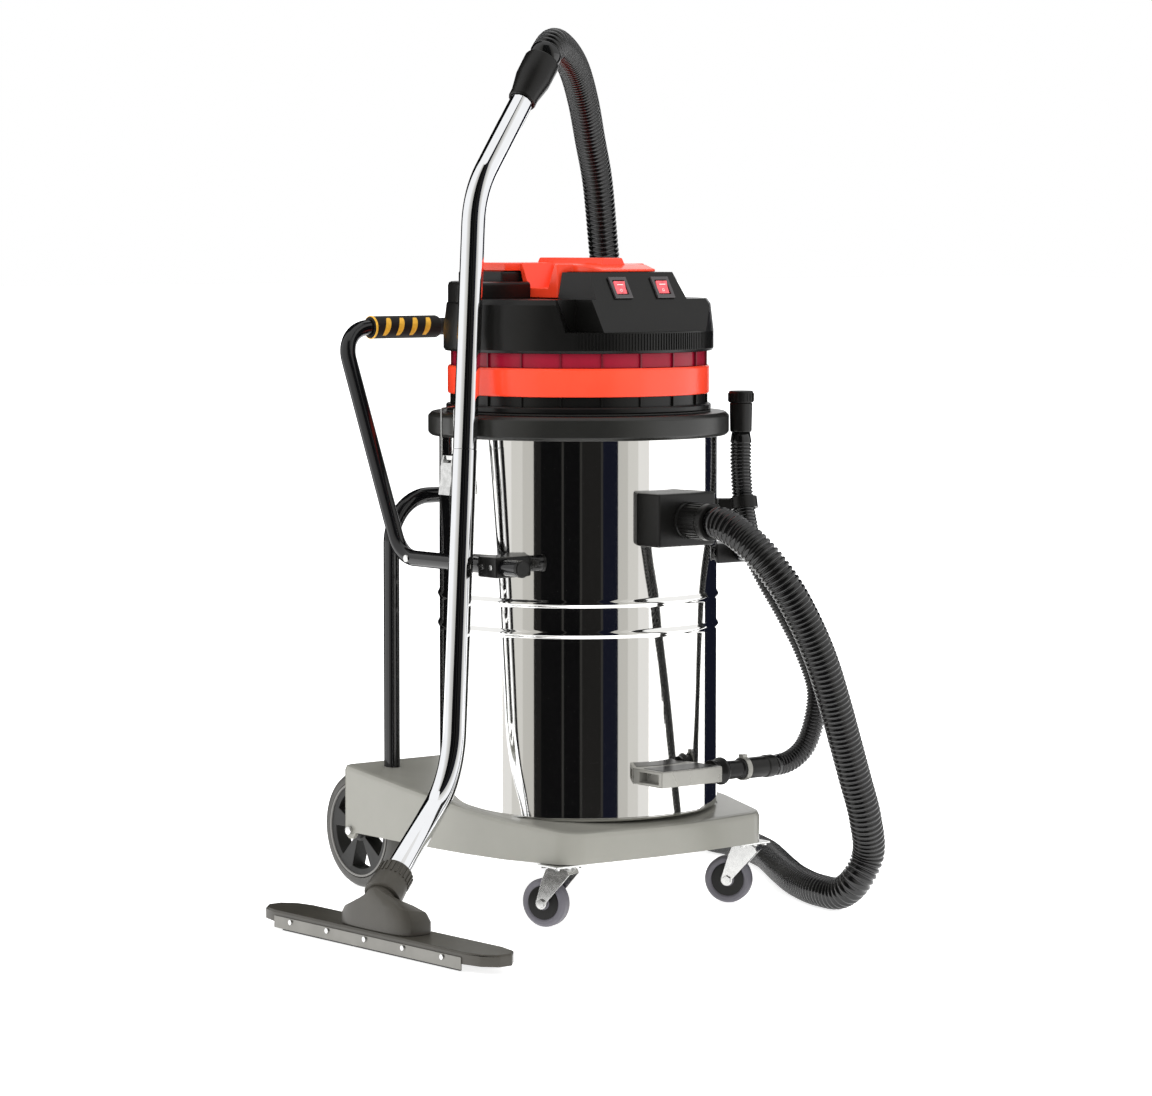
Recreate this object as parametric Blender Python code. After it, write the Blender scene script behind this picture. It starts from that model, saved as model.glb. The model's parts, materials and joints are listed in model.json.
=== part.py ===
"""Wet and dry vacuum cleaner on a trolley, with push handle, hose, wand and floor squeegee.

Lengths are metres.  Inside the machine's own frame the tank's axis is X = 0, Y = 0, the
front is -Y, the floor is Z = 0 and "left" is the -X side.
"""
import math

import bmesh
import bpy
from mathutils import Matrix, Vector

# ---- driving dimensions ----------------------------------------------------------------
TANK_AXIS_AT = Vector((0.1417, 0.0204, 0.0))  # the tank's axis, from the middle of the footprint
GAP = 0.0003                      # running gap between neighbouring pieces

TANK_R = 0.220
TANK_WALL = 0.0015
TANK_FLOOR_Z = 0.1555
TANK_RIM_Z = 0.7725
TANK_BEADS_Z = (0.445, 0.492)
BEAD_HEIGHT = 0.003

RING_R = 0.2375
RING_BORE_R = 0.2045
RING_Z = (0.742, 0.779)

PLATFORM_FRONT_Y = -0.2275
PLATFORM_REAR_Y = 0.340
PLATFORM_SKIRT_Z = (0.100, 0.092)   # skirt's lower edge, front and rear
PLATFORM_TOP_Z = (0.1485, 0.2016)   # deck, front and rear

REAR_WHEEL_R = 0.095
REAR_WHEEL_X = (0.1715, 0.2035)
REAR_AXLE_Y = 0.3165
REAR_AXLE_Z = REAR_WHEEL_R
AXLE_R = 0.006

CASTOR_X = 0.187
CASTOR_Y = -0.191
CASTOR_WHEEL_R = 0.0375
CASTOR_WHEEL_W = 0.024
CASTOR_TRAIL = 0.028
CASTOR_TOP_Z = 0.0986
CASTOR_TURN = {"left": 22.0, "right": 36.0}

FLANGE_R = 0.209
FLANGE_Z = (0.782, 0.792)
BAND_R = 0.2066
BAND_Z = (0.808, 0.852)
FINS_R = 0.200
FINS_TOP_Z = 0.8745
COVER_R = 0.213
COVER_TOP_R = 0.206
COVER_BOTTOM_Z = 0.875
COVER_RIM_Z = 0.907
LEDGE_Z = 0.9565
DECK_Z = 0.983
BLOCK_Z = 0.9992
CONSOLE_Z = 0.998
CONSOLE_Y = -0.130
CONSOLE_SLOPE = 0.61              # run over rise of the slanted switch panel
CAP_TOP_Z = 1.012
GRIP_BAR_Z = 1.020

SWITCH_X = (-0.036, 0.049)
SWITCH_Z = 0.9735
SWITCH_SIZE = (0.036, 0.038)      # bezel, across and along the slope

MOTOR_X = 0.085
MOTOR_DECK_Z = 0.770
FAN_R = 0.058
CAGE_R = (0.128, 0.098)
CAGE_Z = (0.600, 0.7645)
FLOAT_R = 0.036

TUBE_R = 0.0125                   # push handle
FRAME_TUBE_R = 0.013
HANDLE_X = 0.238
HANDLE_RUN_Z = 0.550
HANDLE_FRONT_Y = -0.160
HANDLE_ELBOW_Y = 0.150
HANDLE_TOP = (0.310, 0.907)       # y, z of the crossbar
FRAME_AT = (0.153, 0.291)
FRAME_FOOT_Z = 0.150
FRAME_TOP_Z = 0.634

INLET_Z = 0.620
INLET_FRONT_Y = -0.265
CUFF_FRONT_Y = -0.325
HOSE_R = 0.0255

DRAIN_Z = 0.225
DRAIN_Y = -0.250
DRAIN_HOSE_R = 0.017
DRAIN_TOP = Vector((0.2092, -0.1500, 0.745))
DRAIN_CLIP_Z = (0.622, 0.640)

WAND_R = 0.019
WAND_NECK = Vector((-0.5156, -0.1702, 0.0743))    # where the wand meets the floor tool
WAND_LOW_BEND = Vector((-0.3121, -0.0804, 0.230))
WAND_HIGH_BEND = Vector((-0.2168, -0.0136, 1.120))
WAND_TOP = Vector((-0.0430, 0.0376, 1.327))       # hose end of the cuff
WAND_BEND_R = 0.16
WAND_JOINT_Z = 0.728
WAND_CUFF_LENGTH = 0.085
COLLAR_LENGTH = 0.055
NECK_RISE = 0.006                 # of the floor tool's round neck, along the wand

TOOL_AT = Vector((-0.500, -0.1625, 0.0))
TOOL_LENGTH = 0.585
TOOL_WIDTH = 0.075
TOOL_Z = (0.012, 0.030)
HOOD_LEVELS = ((0.0, 0.0), (0.0, 0.35), (0.12, 0.62), (0.45, 0.79), (1.0, 1.0), (1.0, 1.0))

LATCH_Y = 0.020
LATCH_PIVOT = (0.238, 0.712)      # x, z of the lever's pin
BAIL_PIVOT = (0.2435, 0.698)      # x, z of the bail's eye in the lever
LATCH_WIDTH = 0.028
BAIL_BAR_X = FLANGE_R + 0.0025      # bar of the bail, against the edge of the head flange

# ---- the hoses' routes, as points that a smooth curve passes through --------------------
HOSE_ROUTE = (
    (0.000, -0.3254, 0.620), (0.000, -0.340, 0.620), (0.003, -0.373, 0.609), (0.018, -0.411, 0.578),
    (0.046, -0.4359, 0.530), (0.079, -0.4436, 0.476), (0.113, -0.4449, 0.414),
    (0.145, -0.4388, 0.350), (0.175, -0.4309, 0.287), (0.205, -0.4231, 0.222),
    (0.2345, -0.415, 0.157), (0.2582, -0.3968, 0.094), (0.2449, -0.3822, 0.052),
    (0.2432, -0.350, 0.0300), (0.2502, -0.2942, 0.0262), (0.2836, -0.2085, 0.0262),
    (0.3440, -0.105, 0.0262), (0.4020, -0.014, 0.0262), (0.4349, 0.0403, 0.0262), (0.4700, 0.120, 0.0262),
    (0.4880, 0.190, 0.0262), (0.4900, 0.262, 0.0300), (0.4780, 0.312, 0.062),
    (0.4600, 0.340, 0.130), (0.4420, 0.352, 0.230), (0.4200, 0.357, 0.380),
    (0.3994, 0.3583, 0.550), (0.3752, 0.3523, 0.750), (0.3478, 0.3422, 0.900),
    (0.3162, 0.3228, 1.030), (0.2720, 0.2860, 1.146), (0.2290, 0.2520, 1.2110),
    (0.1760, 0.2050, 1.273), (0.1050, 0.1430, 1.325), (0.0340, 0.0860, 1.3510),
    (-0.0070, 0.0560, 1.3550), (-0.0342, 0.0402, 1.3375), (-0.0428, 0.0377, 1.3273),
)
DRAIN_ROUTE = (
    (0.1886, -0.250, 0.225), (0.1980, -0.250, 0.225), (0.2220, -0.2540, 0.230), (0.2482, -0.258, 0.2486),
    (0.2695, -0.2568, 0.286), (0.2809, -0.2520, 0.339), (0.2644, -0.2410, 0.4006),
    (0.2360, -0.2260, 0.4627), (0.2119, -0.2080, 0.5150), (0.2000, -0.1870, 0.5610),
    (0.2045, -0.1700, 0.6000), (0.2080, -0.1580, 0.6310), (0.2092, -0.1500, 0.6900),
    (0.2092, -0.1500, 0.7300), (0.2092, -0.1500, 0.7447),
)


# ---- helpers ---------------------------------------------------------------------------
def clear_scene():
    for old in list(bpy.data.objects):
        bpy.data.objects.remove(old, do_unlink=True)


def material(name, colour, roughness, metallic=0.0):
    mat = bpy.data.materials.new(name)
    mat.use_nodes = True
    shader = mat.node_tree.nodes["Principled BSDF"]
    shader.inputs["Base Color"].default_value = (*colour, 1.0)
    shader.inputs["Roughness"].default_value = roughness
    shader.inputs["Metallic"].default_value = metallic
    return mat


def place(obj, origin):
    bpy.context.scene.collection.objects.link(obj)
    obj.parent = MACHINE
    obj.location = origin
    return obj


def solid(name, bm, mat, origin=(0.0, 0.0, 0.0), smooth=35.0):
    """Turns a bmesh in the machine's frame into a named object with its origin at origin."""
    origin = Vector(origin)
    bmesh.ops.translate(bm, verts=bm.verts, vec=-origin)
    bmesh.ops.recalc_face_normals(bm, faces=bm.faces)
    mesh = bpy.data.meshes.new(name)
    bm.to_mesh(mesh)
    bm.free()
    mesh.shade_smooth()
    mesh.set_sharp_from_angle(angle=math.radians(smooth))
    obj = bpy.data.objects.new(name, mesh)
    if mat:
        mesh.materials.append(mat)
    return place(obj, origin)


def boolean(obj, operation, bm, index=0):
    """Adds an exact boolean with a hidden cutter made from a bmesh in the machine's frame."""
    cutter = solid(f"{obj.name}_cutter_{len(obj.modifiers)}_{index}", bm, None)
    cutter.hide_render = True
    cutter.display_type = "WIRE"
    mod = obj.modifiers.new(operation.lower(), "BOOLEAN")
    mod.operation = operation
    mod.object = cutter
    return obj


def cut(obj, *shapes):
    for index, bm in enumerate(shapes):
        boolean(obj, "DIFFERENCE", bm, index)
    return obj


def join(obj, *shapes):
    for index, bm in enumerate(shapes):
        boolean(obj, "UNION", bm, index)
    return obj


def along(start, direction, roll=Vector((0.0, 0.0, 1.0))):
    """Frame whose +Z runs along direction from start, and whose +X stays close to roll."""
    z = Vector(direction).normalized()
    x = Vector(roll) - z * Vector(roll).dot(z)
    if x.length < 1e-4:
        x = Vector((1.0, 0.0, 0.0)) - z * z.x
    x.normalize()
    y = z.cross(x)
    frame = Matrix((x, y, z)).transposed().to_4x4()
    frame.translation = Vector(start)
    return frame


def turned(profile, segments=32, frame=Matrix()):
    """Solid of revolution about the frame's Z, from a closed profile of (radius, height)."""
    bm = bmesh.new()
    rings = []
    for radius, height in profile:
        if radius < 1e-7:
            rings.append([bm.verts.new(frame @ Vector((0.0, 0.0, height)))] * segments)
            continue
        ring = []
        for k in range(segments):
            a = math.tau * k / segments
            ring.append(bm.verts.new(frame @ Vector((radius * math.cos(a), radius * math.sin(a), height))))
        rings.append(ring)
    for i, ring in enumerate(rings):
        after = rings[(i + 1) % len(rings)]
        if ring[0] is ring[1] and after[0] is after[1]:
            continue
        for k in range(segments):
            n = (k + 1) % segments
            corners = [ring[k], ring[n], after[n], after[k]]
            bm.faces.new(list(dict.fromkeys(corners)))
    return bm


def rod(radius, start, end, segments=16):
    """Plain round rod between two points."""
    start, end = Vector(start), Vector(end)
    length = (end - start).length
    return turned([(0, 0), (radius, 0), (radius, length), (0, length)], segments, along(start, end - start))


def pipe(outer, inner, start, end, segments=24):
    """Plain tube between two points."""
    start, end = Vector(start), Vector(end)
    length = (end - start).length
    profile = [(inner, 0), (outer, 0), (outer, length), (inner, length)]
    return turned(profile, segments, along(start, end - start))


def prism(outline, low, high, axis="Z"):
    """Extrudes a closed outline; low and high are heights or functions of the outline point."""
    bm = bmesh.new()
    spin = {
        "Z": lambda p, h: Vector((p[0], p[1], h)),
        "Y": lambda p, h: Vector((p[0], h, p[1])),
        "X": lambda p, h: Vector((h, p[0], p[1])),
    }[axis]
    ends = []
    for level in (low, high):
        at = level if callable(level) else (lambda p, h=level: h)
        ends.append([bm.verts.new(spin(p, at(p))) for p in outline])
    count = len(outline)
    bm.faces.new(ends[0])
    bm.faces.new(list(reversed(ends[1])))
    for i in range(count):
        n = (i + 1) % count
        bm.faces.new([ends[0][i], ends[0][n], ends[1][n], ends[1][i]])
    return bm


def block(low, high, bevel=0.0, frame=Matrix()):
    """Box between two corners, with its edges rounded by a two-step bevel."""
    low, high = Vector(low), Vector(high)
    outline = [(low.x, low.y), (high.x, low.y), (high.x, high.y), (low.x, high.y)]
    bm = prism(outline, low.z, high.z)
    bmesh.ops.recalc_face_normals(bm, faces=bm.faces)
    if bevel:
        bmesh.ops.bevel(bm, geom=bm.edges[:], offset=bevel, segments=2, profile=0.5, affect="EDGES")
    bmesh.ops.transform(bm, matrix=frame, verts=bm.verts)
    return bm


def arc(centre, radius, start, end, steps):
    """Points on a circle's arc, angles in degrees, both ends included."""
    out = []
    for k in range(steps + 1):
        a = math.radians(start + (end - start) * k / steps)
        out.append((centre[0] + radius * math.cos(a), centre[1] + radius * math.sin(a)))
    return out


def filleted(points, radius, steps=6):
    """The path through points with its corners rounded."""
    points = [Vector(p) for p in points]
    path = [points[0]]
    for before, corner, after in zip(points, points[1:], points[2:]):
        a = (before - corner).normalized()
        b = (after - corner).normalized()
        half = a.angle(b) / 2.0
        reach = radius / math.tan(half)
        middle = corner + (a + b).normalized() * (radius / math.sin(half))
        first = corner + a * reach - middle
        last = corner + b * reach - middle
        for k in range(steps + 1):
            path.append(middle + first.slerp(last, k / steps, first).normalized() * radius)
    path.append(points[-1])
    return path


def swept(path, outer, inner=0.0, sides=12):
    """Tube or rod along a path, with frames carried along without twist."""
    bm = bmesh.new()
    frame = None
    loops = {"outer": [], "inner": []}
    for i, point in enumerate(path):
        ahead = path[min(i + 1, len(path) - 1)] - path[max(i - 1, 0)]
        ahead.normalize()
        if frame is None:
            frame = along(point, ahead).to_3x3()
        else:
            turn = (frame @ Vector((0, 0, 1))).rotation_difference(ahead).to_matrix()
            frame = turn @ frame
        for key, radius in (("outer", outer), ("inner", inner)):
            if radius <= 0.0:
                continue
            ring = []
            for k in range(sides):
                a = math.tau * k / sides
                spoke = frame @ Vector((math.cos(a), math.sin(a), 0.0))
                ring.append(bm.verts.new(point + spoke * radius))
            loops[key].append(ring)
    for rings in loops.values():
        for a, b in zip(rings, rings[1:]):
            for k in range(sides):
                n = (k + 1) % sides
                bm.faces.new([a[k], a[n], b[n], b[k]])
    for end in (0, -1):
        ring = loops["outer"][end]
        if inner <= 0.0:
            bm.faces.new(ring)
            continue
        hole = loops["inner"][end]
        for k in range(sides):
            n = (k + 1) % sides
            bm.faces.new([ring[k], ring[n], hole[n], hole[k]])
    return bm


def smooth_route(points, count):
    """The first and last points, and between them evenly spaced ones on a smooth curve."""
    ends = [Vector(p) for p in points]
    fine = []
    for p0, p1, p2, p3 in zip(ends, ends[1:], ends[2:], ends[3:]):
        t1 = (p1 - p0).length ** 0.5
        t2 = t1 + (p2 - p1).length ** 0.5
        t3 = t2 + (p3 - p2).length ** 0.5
        for k in range(20):
            t = t1 + (t2 - t1) * k / 20
            a1 = p0 * ((t1 - t) / t1) + p1 * (t / t1)
            a2 = p1 * ((t2 - t) / (t2 - t1)) + p2 * ((t - t1) / (t2 - t1))
            a3 = p2 * ((t3 - t) / (t3 - t2)) + p3 * ((t - t2) / (t3 - t2))
            b1 = a1 * ((t2 - t) / t2) + a2 * (t / t2)
            b2 = a2 * ((t3 - t) / (t3 - t1)) + a3 * ((t - t1) / (t3 - t1))
            fine.append(b1 * ((t2 - t) / (t2 - t1)) + b2 * ((t - t1) / (t2 - t1)))
    fine.append(ends[-2])
    lengths = [0.0]
    for a, b in zip(fine, fine[1:]):
        lengths.append(lengths[-1] + (b - a).length)
    out = [ends[0]]
    i = 0
    for k in range(count):
        want = lengths[-1] * k / (count - 1)
        while i < len(fine) - 2 and lengths[i + 1] < want:
            i += 1
        share = (want - lengths[i]) / (lengths[i + 1] - lengths[i])
        out.append(fine[i].lerp(fine[i + 1], share))
    return out + [ends[-1]]


def hose(name, route, radius, count, mat):
    """A plain round hose along its route, with filled ends."""
    data = bpy.data.curves.new(name, "CURVE")
    data.dimensions = "3D"
    data.bevel_depth = radius
    data.bevel_resolution = 2
    data.use_fill_caps = True
    spline = data.splines.new("POLY")
    points = smooth_route(route, count)
    spline.points.add(len(points) - 1)
    for slot, point in zip(spline.points, points):
        slot.co = (*point, 1.0)
    data.materials.append(mat)
    return place(bpy.data.objects.new(name, data), (0.0, 0.0, 0.0))


def cells(columns, rows, filled, at):
    """Solid made of the filled cells of a wrapped grid; at(column, row, side) gives a corner."""
    bm = bmesh.new()
    corner = {}

    def vert(i, j, side):
        key = (i % columns, j, side)
        if key not in corner:
            corner[key] = bm.verts.new(at(*key))
        return corner[key]

    for i in range(columns):
        for j in range(rows):
            if not filled(i, j):
                continue
            ring = [(i, j), (i + 1, j), (i + 1, j + 1), (i, j + 1)]
            bm.faces.new([vert(a, b, 0) for a, b in ring])
            bm.faces.new([vert(a, b, 1) for a, b in reversed(ring)])
            beside = [(i, j - 1), (i + 1, j), (i, j + 1), (i - 1, j)]
            for k, (ci, cj) in enumerate(beside):
                if 0 <= cj < rows and filled(ci % columns, cj):
                    continue
                a, b = ring[k], ring[(k + 1) % 4]
                bm.faces.new([vert(*a, 0), vert(*b, 0), vert(*b, 1), vert(*a, 1)])
    return bm


def side_sign(side):
    return -1.0 if side == "left" else 1.0


# ---- trolley ---------------------------------------------------------------------------
def blend(y, pair):
    share = (y - PLATFORM_FRONT_Y) / (PLATFORM_REAR_Y - PLATFORM_FRONT_Y)
    return pair[0] + (pair[1] - pair[0]) * share


def platform_outline():
    """Right half from the rear corner to the front, then mirrored."""
    half = []
    half += arc((0.2055, PLATFORM_REAR_Y - 0.012), 0.012, 90.0, 0.0, 3)
    half += [(0.2300, 0.160), (0.2345, 0.060), (0.2350, -0.010), (0.2290, -0.100)]
    half += arc((0.162, PLATFORM_FRONT_Y + 0.045), 0.045, -8.0, -82.0, 5)
    half += [(0.100, -0.2335), (0.035, -0.2380)]
    return half + [(-x, y) for x, y in reversed(half)]


def build_platform(grey):
    bm = prism(
        platform_outline(),
        lambda p: blend(p[1], PLATFORM_SKIRT_Z),
        lambda p: blend(p[1], PLATFORM_TOP_Z),
    )
    bmesh.ops.recalc_face_normals(bm, faces=bm.faces)
    top = max(bm.faces, key=lambda f: f.normal.z)
    bmesh.ops.bevel(bm, geom=top.edges[:], offset=0.009, segments=2, profile=0.5, affect="EDGES")
    deck = solid("platform", bm, grey)
    under = [
        (-0.201, -0.125), (-0.120, -0.205), (0.120, -0.205), (0.201, -0.125),
        (0.2285, 0.000), (0.2240, 0.190), (-0.2240, 0.190), (-0.2285, 0.000),
    ]
    cut(deck, prism(under, 0.05, 0.1425))
    cut(deck, block((-0.136, 0.180, 0.05), (0.136, PLATFORM_REAR_Y - 0.006, 0.1800)))
    well = [(0.215, 0.05), (0.215, 0.150), (0.245, 0.180), (0.285, 0.1925), (0.40, 0.1925), (0.40, 0.05)]
    x, y = FRAME_AT
    for sign in (-1, 1):
        inner, outer = sorted((sign * 0.1690, sign * 0.2125))
        cut(deck, prism(well, inner, outer, "X"))
        for start, end in ((0.1450, 0.1690), (0.2125, 0.2180)):
            near, far = (sign * start, REAR_AXLE_Y, REAR_AXLE_Z), (sign * end, REAR_AXLE_Y, REAR_AXLE_Z)
            join(deck, rod(0.0140, near, far, 24))
        cut(deck, rod(0.0135, (sign * x, y, FRAME_FOOT_Z - GAP), (sign * x, y, 0.26)))
    cut(deck, rod(TANK_R + GAP, (0, 0, TANK_FLOOR_Z - GAP), (0, 0, 0.30), 48))
    cut(deck, rod(AXLE_R + GAP, (-0.3, REAR_AXLE_Y, REAR_AXLE_Z), (0.3, REAR_AXLE_Y, REAR_AXLE_Z), 16))
    return deck


def build_rear_axle(steel):
    end = 0.2215
    profile = [
        (0, -end - 0.004), (0.0070, -end - 0.003), (0.0075, -end), (AXLE_R, -end),
        (AXLE_R, end), (0.0075, end), (0.0070, end + 0.003), (0, end + 0.004),
    ]
    return solid("rear_axle", turned(profile, 16, along((0, REAR_AXLE_Y, REAR_AXLE_Z), (1, 0, 0))), steel)


def build_rear_wheel(side, rubber):
    sign = side_sign(side)
    x0, x1 = REAR_WHEEL_X
    radii = (AXLE_R + GAP, 0.019, 0.064, 0.078, REAR_WHEEL_R)
    inset = (0.002, 0.004, 0.0005, 0.0, 0.004)
    columns = 40

    def at(i, j, end):
        a = math.tau * i / columns
        x = x0 + inset[j] if end == 0 else x1 - inset[j]
        return Vector((sign * x, REAR_AXLE_Y + radii[j] * math.cos(a), REAR_AXLE_Z + radii[j] * math.sin(a)))

    def filled(i, j):
        return j != 1 or i % 8 < 3

    bm = cells(columns, 4, filled, at)
    centre = (sign * (x0 + x1) / 2, REAR_AXLE_Y, REAR_AXLE_Z)
    return solid(f"rear_wheel_{side}", bm, rubber, centre)


def castor_frame(side):
    """Frame of a castor: origin on the floor under its swivel, +Y towards its wheel."""
    turn = Matrix.Rotation(math.radians(CASTOR_TURN[side]), 4, "Z")
    return Matrix.Translation((side_sign(side) * CASTOR_X, CASTOR_Y, 0.0)) @ turn


def build_castor(side, zinc, rubber):
    frame = castor_frame(side)
    pivot = frame.translation
    low, high = CASTOR_TOP_Z - 0.0035, CASTOR_TOP_Z
    plate = block((-0.030, -0.024, low), (0.030, 0.024, high), 0.0008, Matrix.Translation(pivot))
    solid(f"castor_plate_{side}", plate, zinc)
    top = CASTOR_TOP_Z - 0.0035 - GAP
    half = CASTOR_WHEEL_W / 2 + 0.0045
    leg = [(-0.021, 0.0840), (-0.018, top - 0.004), (-0.012, top), (0.012, top), (0.020, top - 0.004)]
    leg += [(0.026, 0.0760)] + arc((CASTOR_TRAIL, CASTOR_WHEEL_R), 0.0095, 10.0, -190.0, 6)
    bm = prism(leg, -half, half, "X")
    bmesh.ops.transform(bm, matrix=frame, verts=bm.verts)
    fork = solid(f"castor_fork_{side}", bm, zinc, pivot)
    inner = half - 0.0025
    cut(fork, block((-inner, -0.05, 0.0), (inner, 0.09, 0.0835), 0.0, frame))
    axle = frame @ Vector((0, CASTOR_TRAIL, CASTOR_WHEEL_R))
    across = frame.to_3x3() @ Vector((1, 0, 0))
    join(fork, rod(0.0040, axle - across * (half + 0.003), axle + across * (half + 0.003), 12))
    w = CASTOR_WHEEL_W / 2
    r = CASTOR_WHEEL_R
    profile = [
        (0.0045, -w), (0.010, -w), (0.012, -w + 0.003), (0.026, -w + 0.003), (0.0285, -w + 0.0005), (r - 0.004, -w + 0.0005),
        (r, -w + 0.005), (r, w - 0.005), (r - 0.004, w - 0.0005), (0.0285, w - 0.0005), (0.026, w - 0.003),
        (0.012, w - 0.003), (0.010, w), (0.0045, w),
    ]
    solid(f"castor_wheel_{side}", turned(profile, 24, along(axle, across)), rubber, axle)


def build_rear_frame(black):
    x, y = FRAME_AT
    corners = [(-x, y, FRAME_FOOT_Z), (-x, y, FRAME_TOP_Z), (x, y, FRAME_TOP_Z), (x, y, FRAME_FOOT_Z)]
    path = filleted(corners, 0.075)
    return solid("rear_frame", swept(path, FRAME_TUBE_R), black)


def handle_path():
    y, z = HANDLE_TOP
    left = [(-HANDLE_X, HANDLE_FRONT_Y, HANDLE_RUN_Z), (-HANDLE_X, HANDLE_ELBOW_Y, HANDLE_RUN_Z), (-HANDLE_X, y, z)]
    return left + [(-px, py, pz) for px, py, pz in reversed(left)]


def build_push_handle(black, foam):
    solid("push_handle", swept(filleted(handle_path(), 0.055, 5), TUBE_R), black)
    y, z = HANDLE_TOP
    end = 0.181
    inner = TUBE_R + GAP
    half = [(inner, -end), (0.0172, -end), (0.0182, 0.004 - end), (0.0182, -0.050), (0.0138, -0.042)]
    profile = half + [(r, -h) for r, h in reversed(half)]
    solid("handle_grip", turned(profile, 24, along((0, y, z), (1, 0, 0))), foam)


def build_clamp(side, black):
    sign = side_sign(side)
    low, high = sorted((sign * 0.2560, sign * 0.1900))
    body = block((low, -0.116, HANDLE_RUN_Z - 0.0160), (high, -0.070, HANDLE_RUN_Z + 0.0160), 0.003)
    clamp = solid(f"handle_clamp_{side}", body, black)
    cut(clamp, rod(TANK_R + 0.0008, (0, 0, 0.5), (0, 0, 0.6), 96))
    cut(clamp, rod(TUBE_R + GAP, (sign * HANDLE_X, -0.2, HANDLE_RUN_Z), (sign * HANDLE_X, 0.0, HANDLE_RUN_Z), 24))


# ---- tank ------------------------------------------------------------------------------
def bead(z, radius, size):
    return [(radius, z - 0.006), (radius + size, z - 0.0025), (radius + size, z + 0.0025), (radius, z + 0.006)]


def build_tank(steel):
    outer = [(0, TANK_FLOOR_Z), (TANK_R - 0.006, TANK_FLOOR_Z), (TANK_R, TANK_FLOOR_Z + 0.006)]
    inside = TANK_R - TANK_WALL
    for z in TANK_BEADS_Z:
        outer += bead(z, TANK_R, BEAD_HEIGHT)
    outer += [(TANK_R, TANK_RIM_Z), (inside, TANK_RIM_Z)]
    floor = [(inside, TANK_FLOOR_Z + 0.004), (inside - 0.002, TANK_FLOOR_Z + TANK_WALL), (0, TANK_FLOOR_Z + TANK_WALL)]
    tank = solid("tank", turned(outer + floor, 48), steel)
    cut(tank, rod(0.0235, (0, -0.3, INLET_Z), (0, -0.15, INLET_Z)))
    cut(tank, rod(0.0090, (-0.012, -0.3, DRAIN_Z), (-0.012, -0.15, DRAIN_Z)))
    return tank


def build_ring(black):
    low, high = RING_Z
    profile = [
        (TANK_R + GAP, low + 0.004), (TANK_R + 0.003, low), (RING_R - 0.005, low), (RING_R, low + 0.005), (RING_R, high - 0.006),
        (RING_R - 0.006, high), (RING_BORE_R, high), (RING_BORE_R, TANK_RIM_Z + GAP), (TANK_R + GAP, TANK_RIM_Z + GAP),
    ]
    return solid("bumper_ring", turned(profile, 48), black)


def build_inlet(black, dark):
    bm = block((-0.057, INLET_FRONT_Y, INLET_Z - 0.040), (0.057, -0.195, INLET_Z + 0.042), 0.004)
    box = solid("inlet_box", bm, black)
    cut(box, rod(TANK_R + 0.0006, (0, 0, 0.5), (0, 0, 0.8), 96))
    cut(box, rod(0.0225, (0, -0.3, INLET_Z), (0, -0.15, INLET_Z), 24))
    length = INLET_FRONT_Y - CUFF_FRONT_Y - GAP
    profile = [
        (0.0205, 0), (0.0285, 0), (0.0285, 0.004), (0.0270, 0.006), (0.0270, length - 0.014),
        (0.0285, length - 0.012), (0.0285, length - 0.001), (0.0275, length), (0.0205, length),
    ]
    solid("inlet_cuff", turned(profile, 32, along((0, INLET_FRONT_Y - GAP, INLET_Z), (0, -1, 0))), dark)
    path = filleted([(0, -0.2165, INLET_Z), (0, -0.1700, INLET_Z), (0, -0.1500, INLET_Z - 0.055)], 0.030, 4)
    return solid("inlet_deflector", swept(path, 0.0225, 0.0200, 16), black)


def build_drain(steel, black):
    bm = block((-0.063, -0.280, DRAIN_Z - 0.0125), (0.0595, -0.205, DRAIN_Z + 0.0125), 0.002)
    box = solid("drain_box", bm, steel)
    cut(box, rod(TANK_R + 0.0006, (0, 0, 0.15), (0, 0, 0.3), 96))
    cut(box, block((-0.070, -0.272, DRAIN_Z - 0.008), (-0.048, -0.226, DRAIN_Z + 0.008)))
    cut(box, block((-0.022, -0.262, DRAIN_Z - 0.0085), (0.070, -0.240, DRAIN_Z + 0.0085)))
    cut(box, block((-0.021, -0.250, DRAIN_Z - 0.0080), (-0.003, -0.200, DRAIN_Z + 0.0080)))
    profile = [
        (0.0100, 0.060), (0.0185, 0.060), (0.0185, 0.065), (0.0165, 0.071), (0.0215, 0.079), (0.0215, 0.083),
        (0.0150, 0.090), (0.0140, 0.118), (0.0165, 0.120), (0.0165, 0.170), (0.0178, 0.172), (0.0178, 0.187),
        (0.0160, 0.1882), (0.0100, 0.1882),
    ]
    solid("drain_pipe", turned(profile, 20, along((0, DRAIN_Y, DRAIN_Z), (1, 0, 0))), black)
    clamp = solid("hose_clamp", pipe(0.0182, 0.0168, (0.124, DRAIN_Y, DRAIN_Z), (0.133, DRAIN_Y, DRAIN_Z)), steel)
    screw = block((0.1235, DRAIN_Y - 0.005, DRAIN_Z + 0.0174), (0.1335, DRAIN_Y + 0.006, DRAIN_Z + 0.0225), 0.0008)
    join(clamp, screw)


def build_drain_top(black):
    at = DRAIN_TOP
    cuff = [(0.0125, 0.0), (0.0165, 0.0), (0.0172, 0.003), (0.0180, 0.045), (0.0165, 0.046), (0.0165, 0.056), (0.0125, 0.056)]
    solid("drain_cuff", turned(cuff, 24, Matrix.Translation(at)), black)
    cap = [
        (0.0, 0.0600), (0.0168, 0.0600), (0.0168, 0.0465), (0.0192, 0.0465), (0.0198, 0.048), (0.0198, 0.062), (0.0180, 0.065),
        (0.0, 0.065),
    ]
    cap_at = at + Vector((0, 0, 0.0465))
    solid("drain_cap", turned(cap, 24, Matrix.Translation(at)), black, cap_at)


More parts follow.
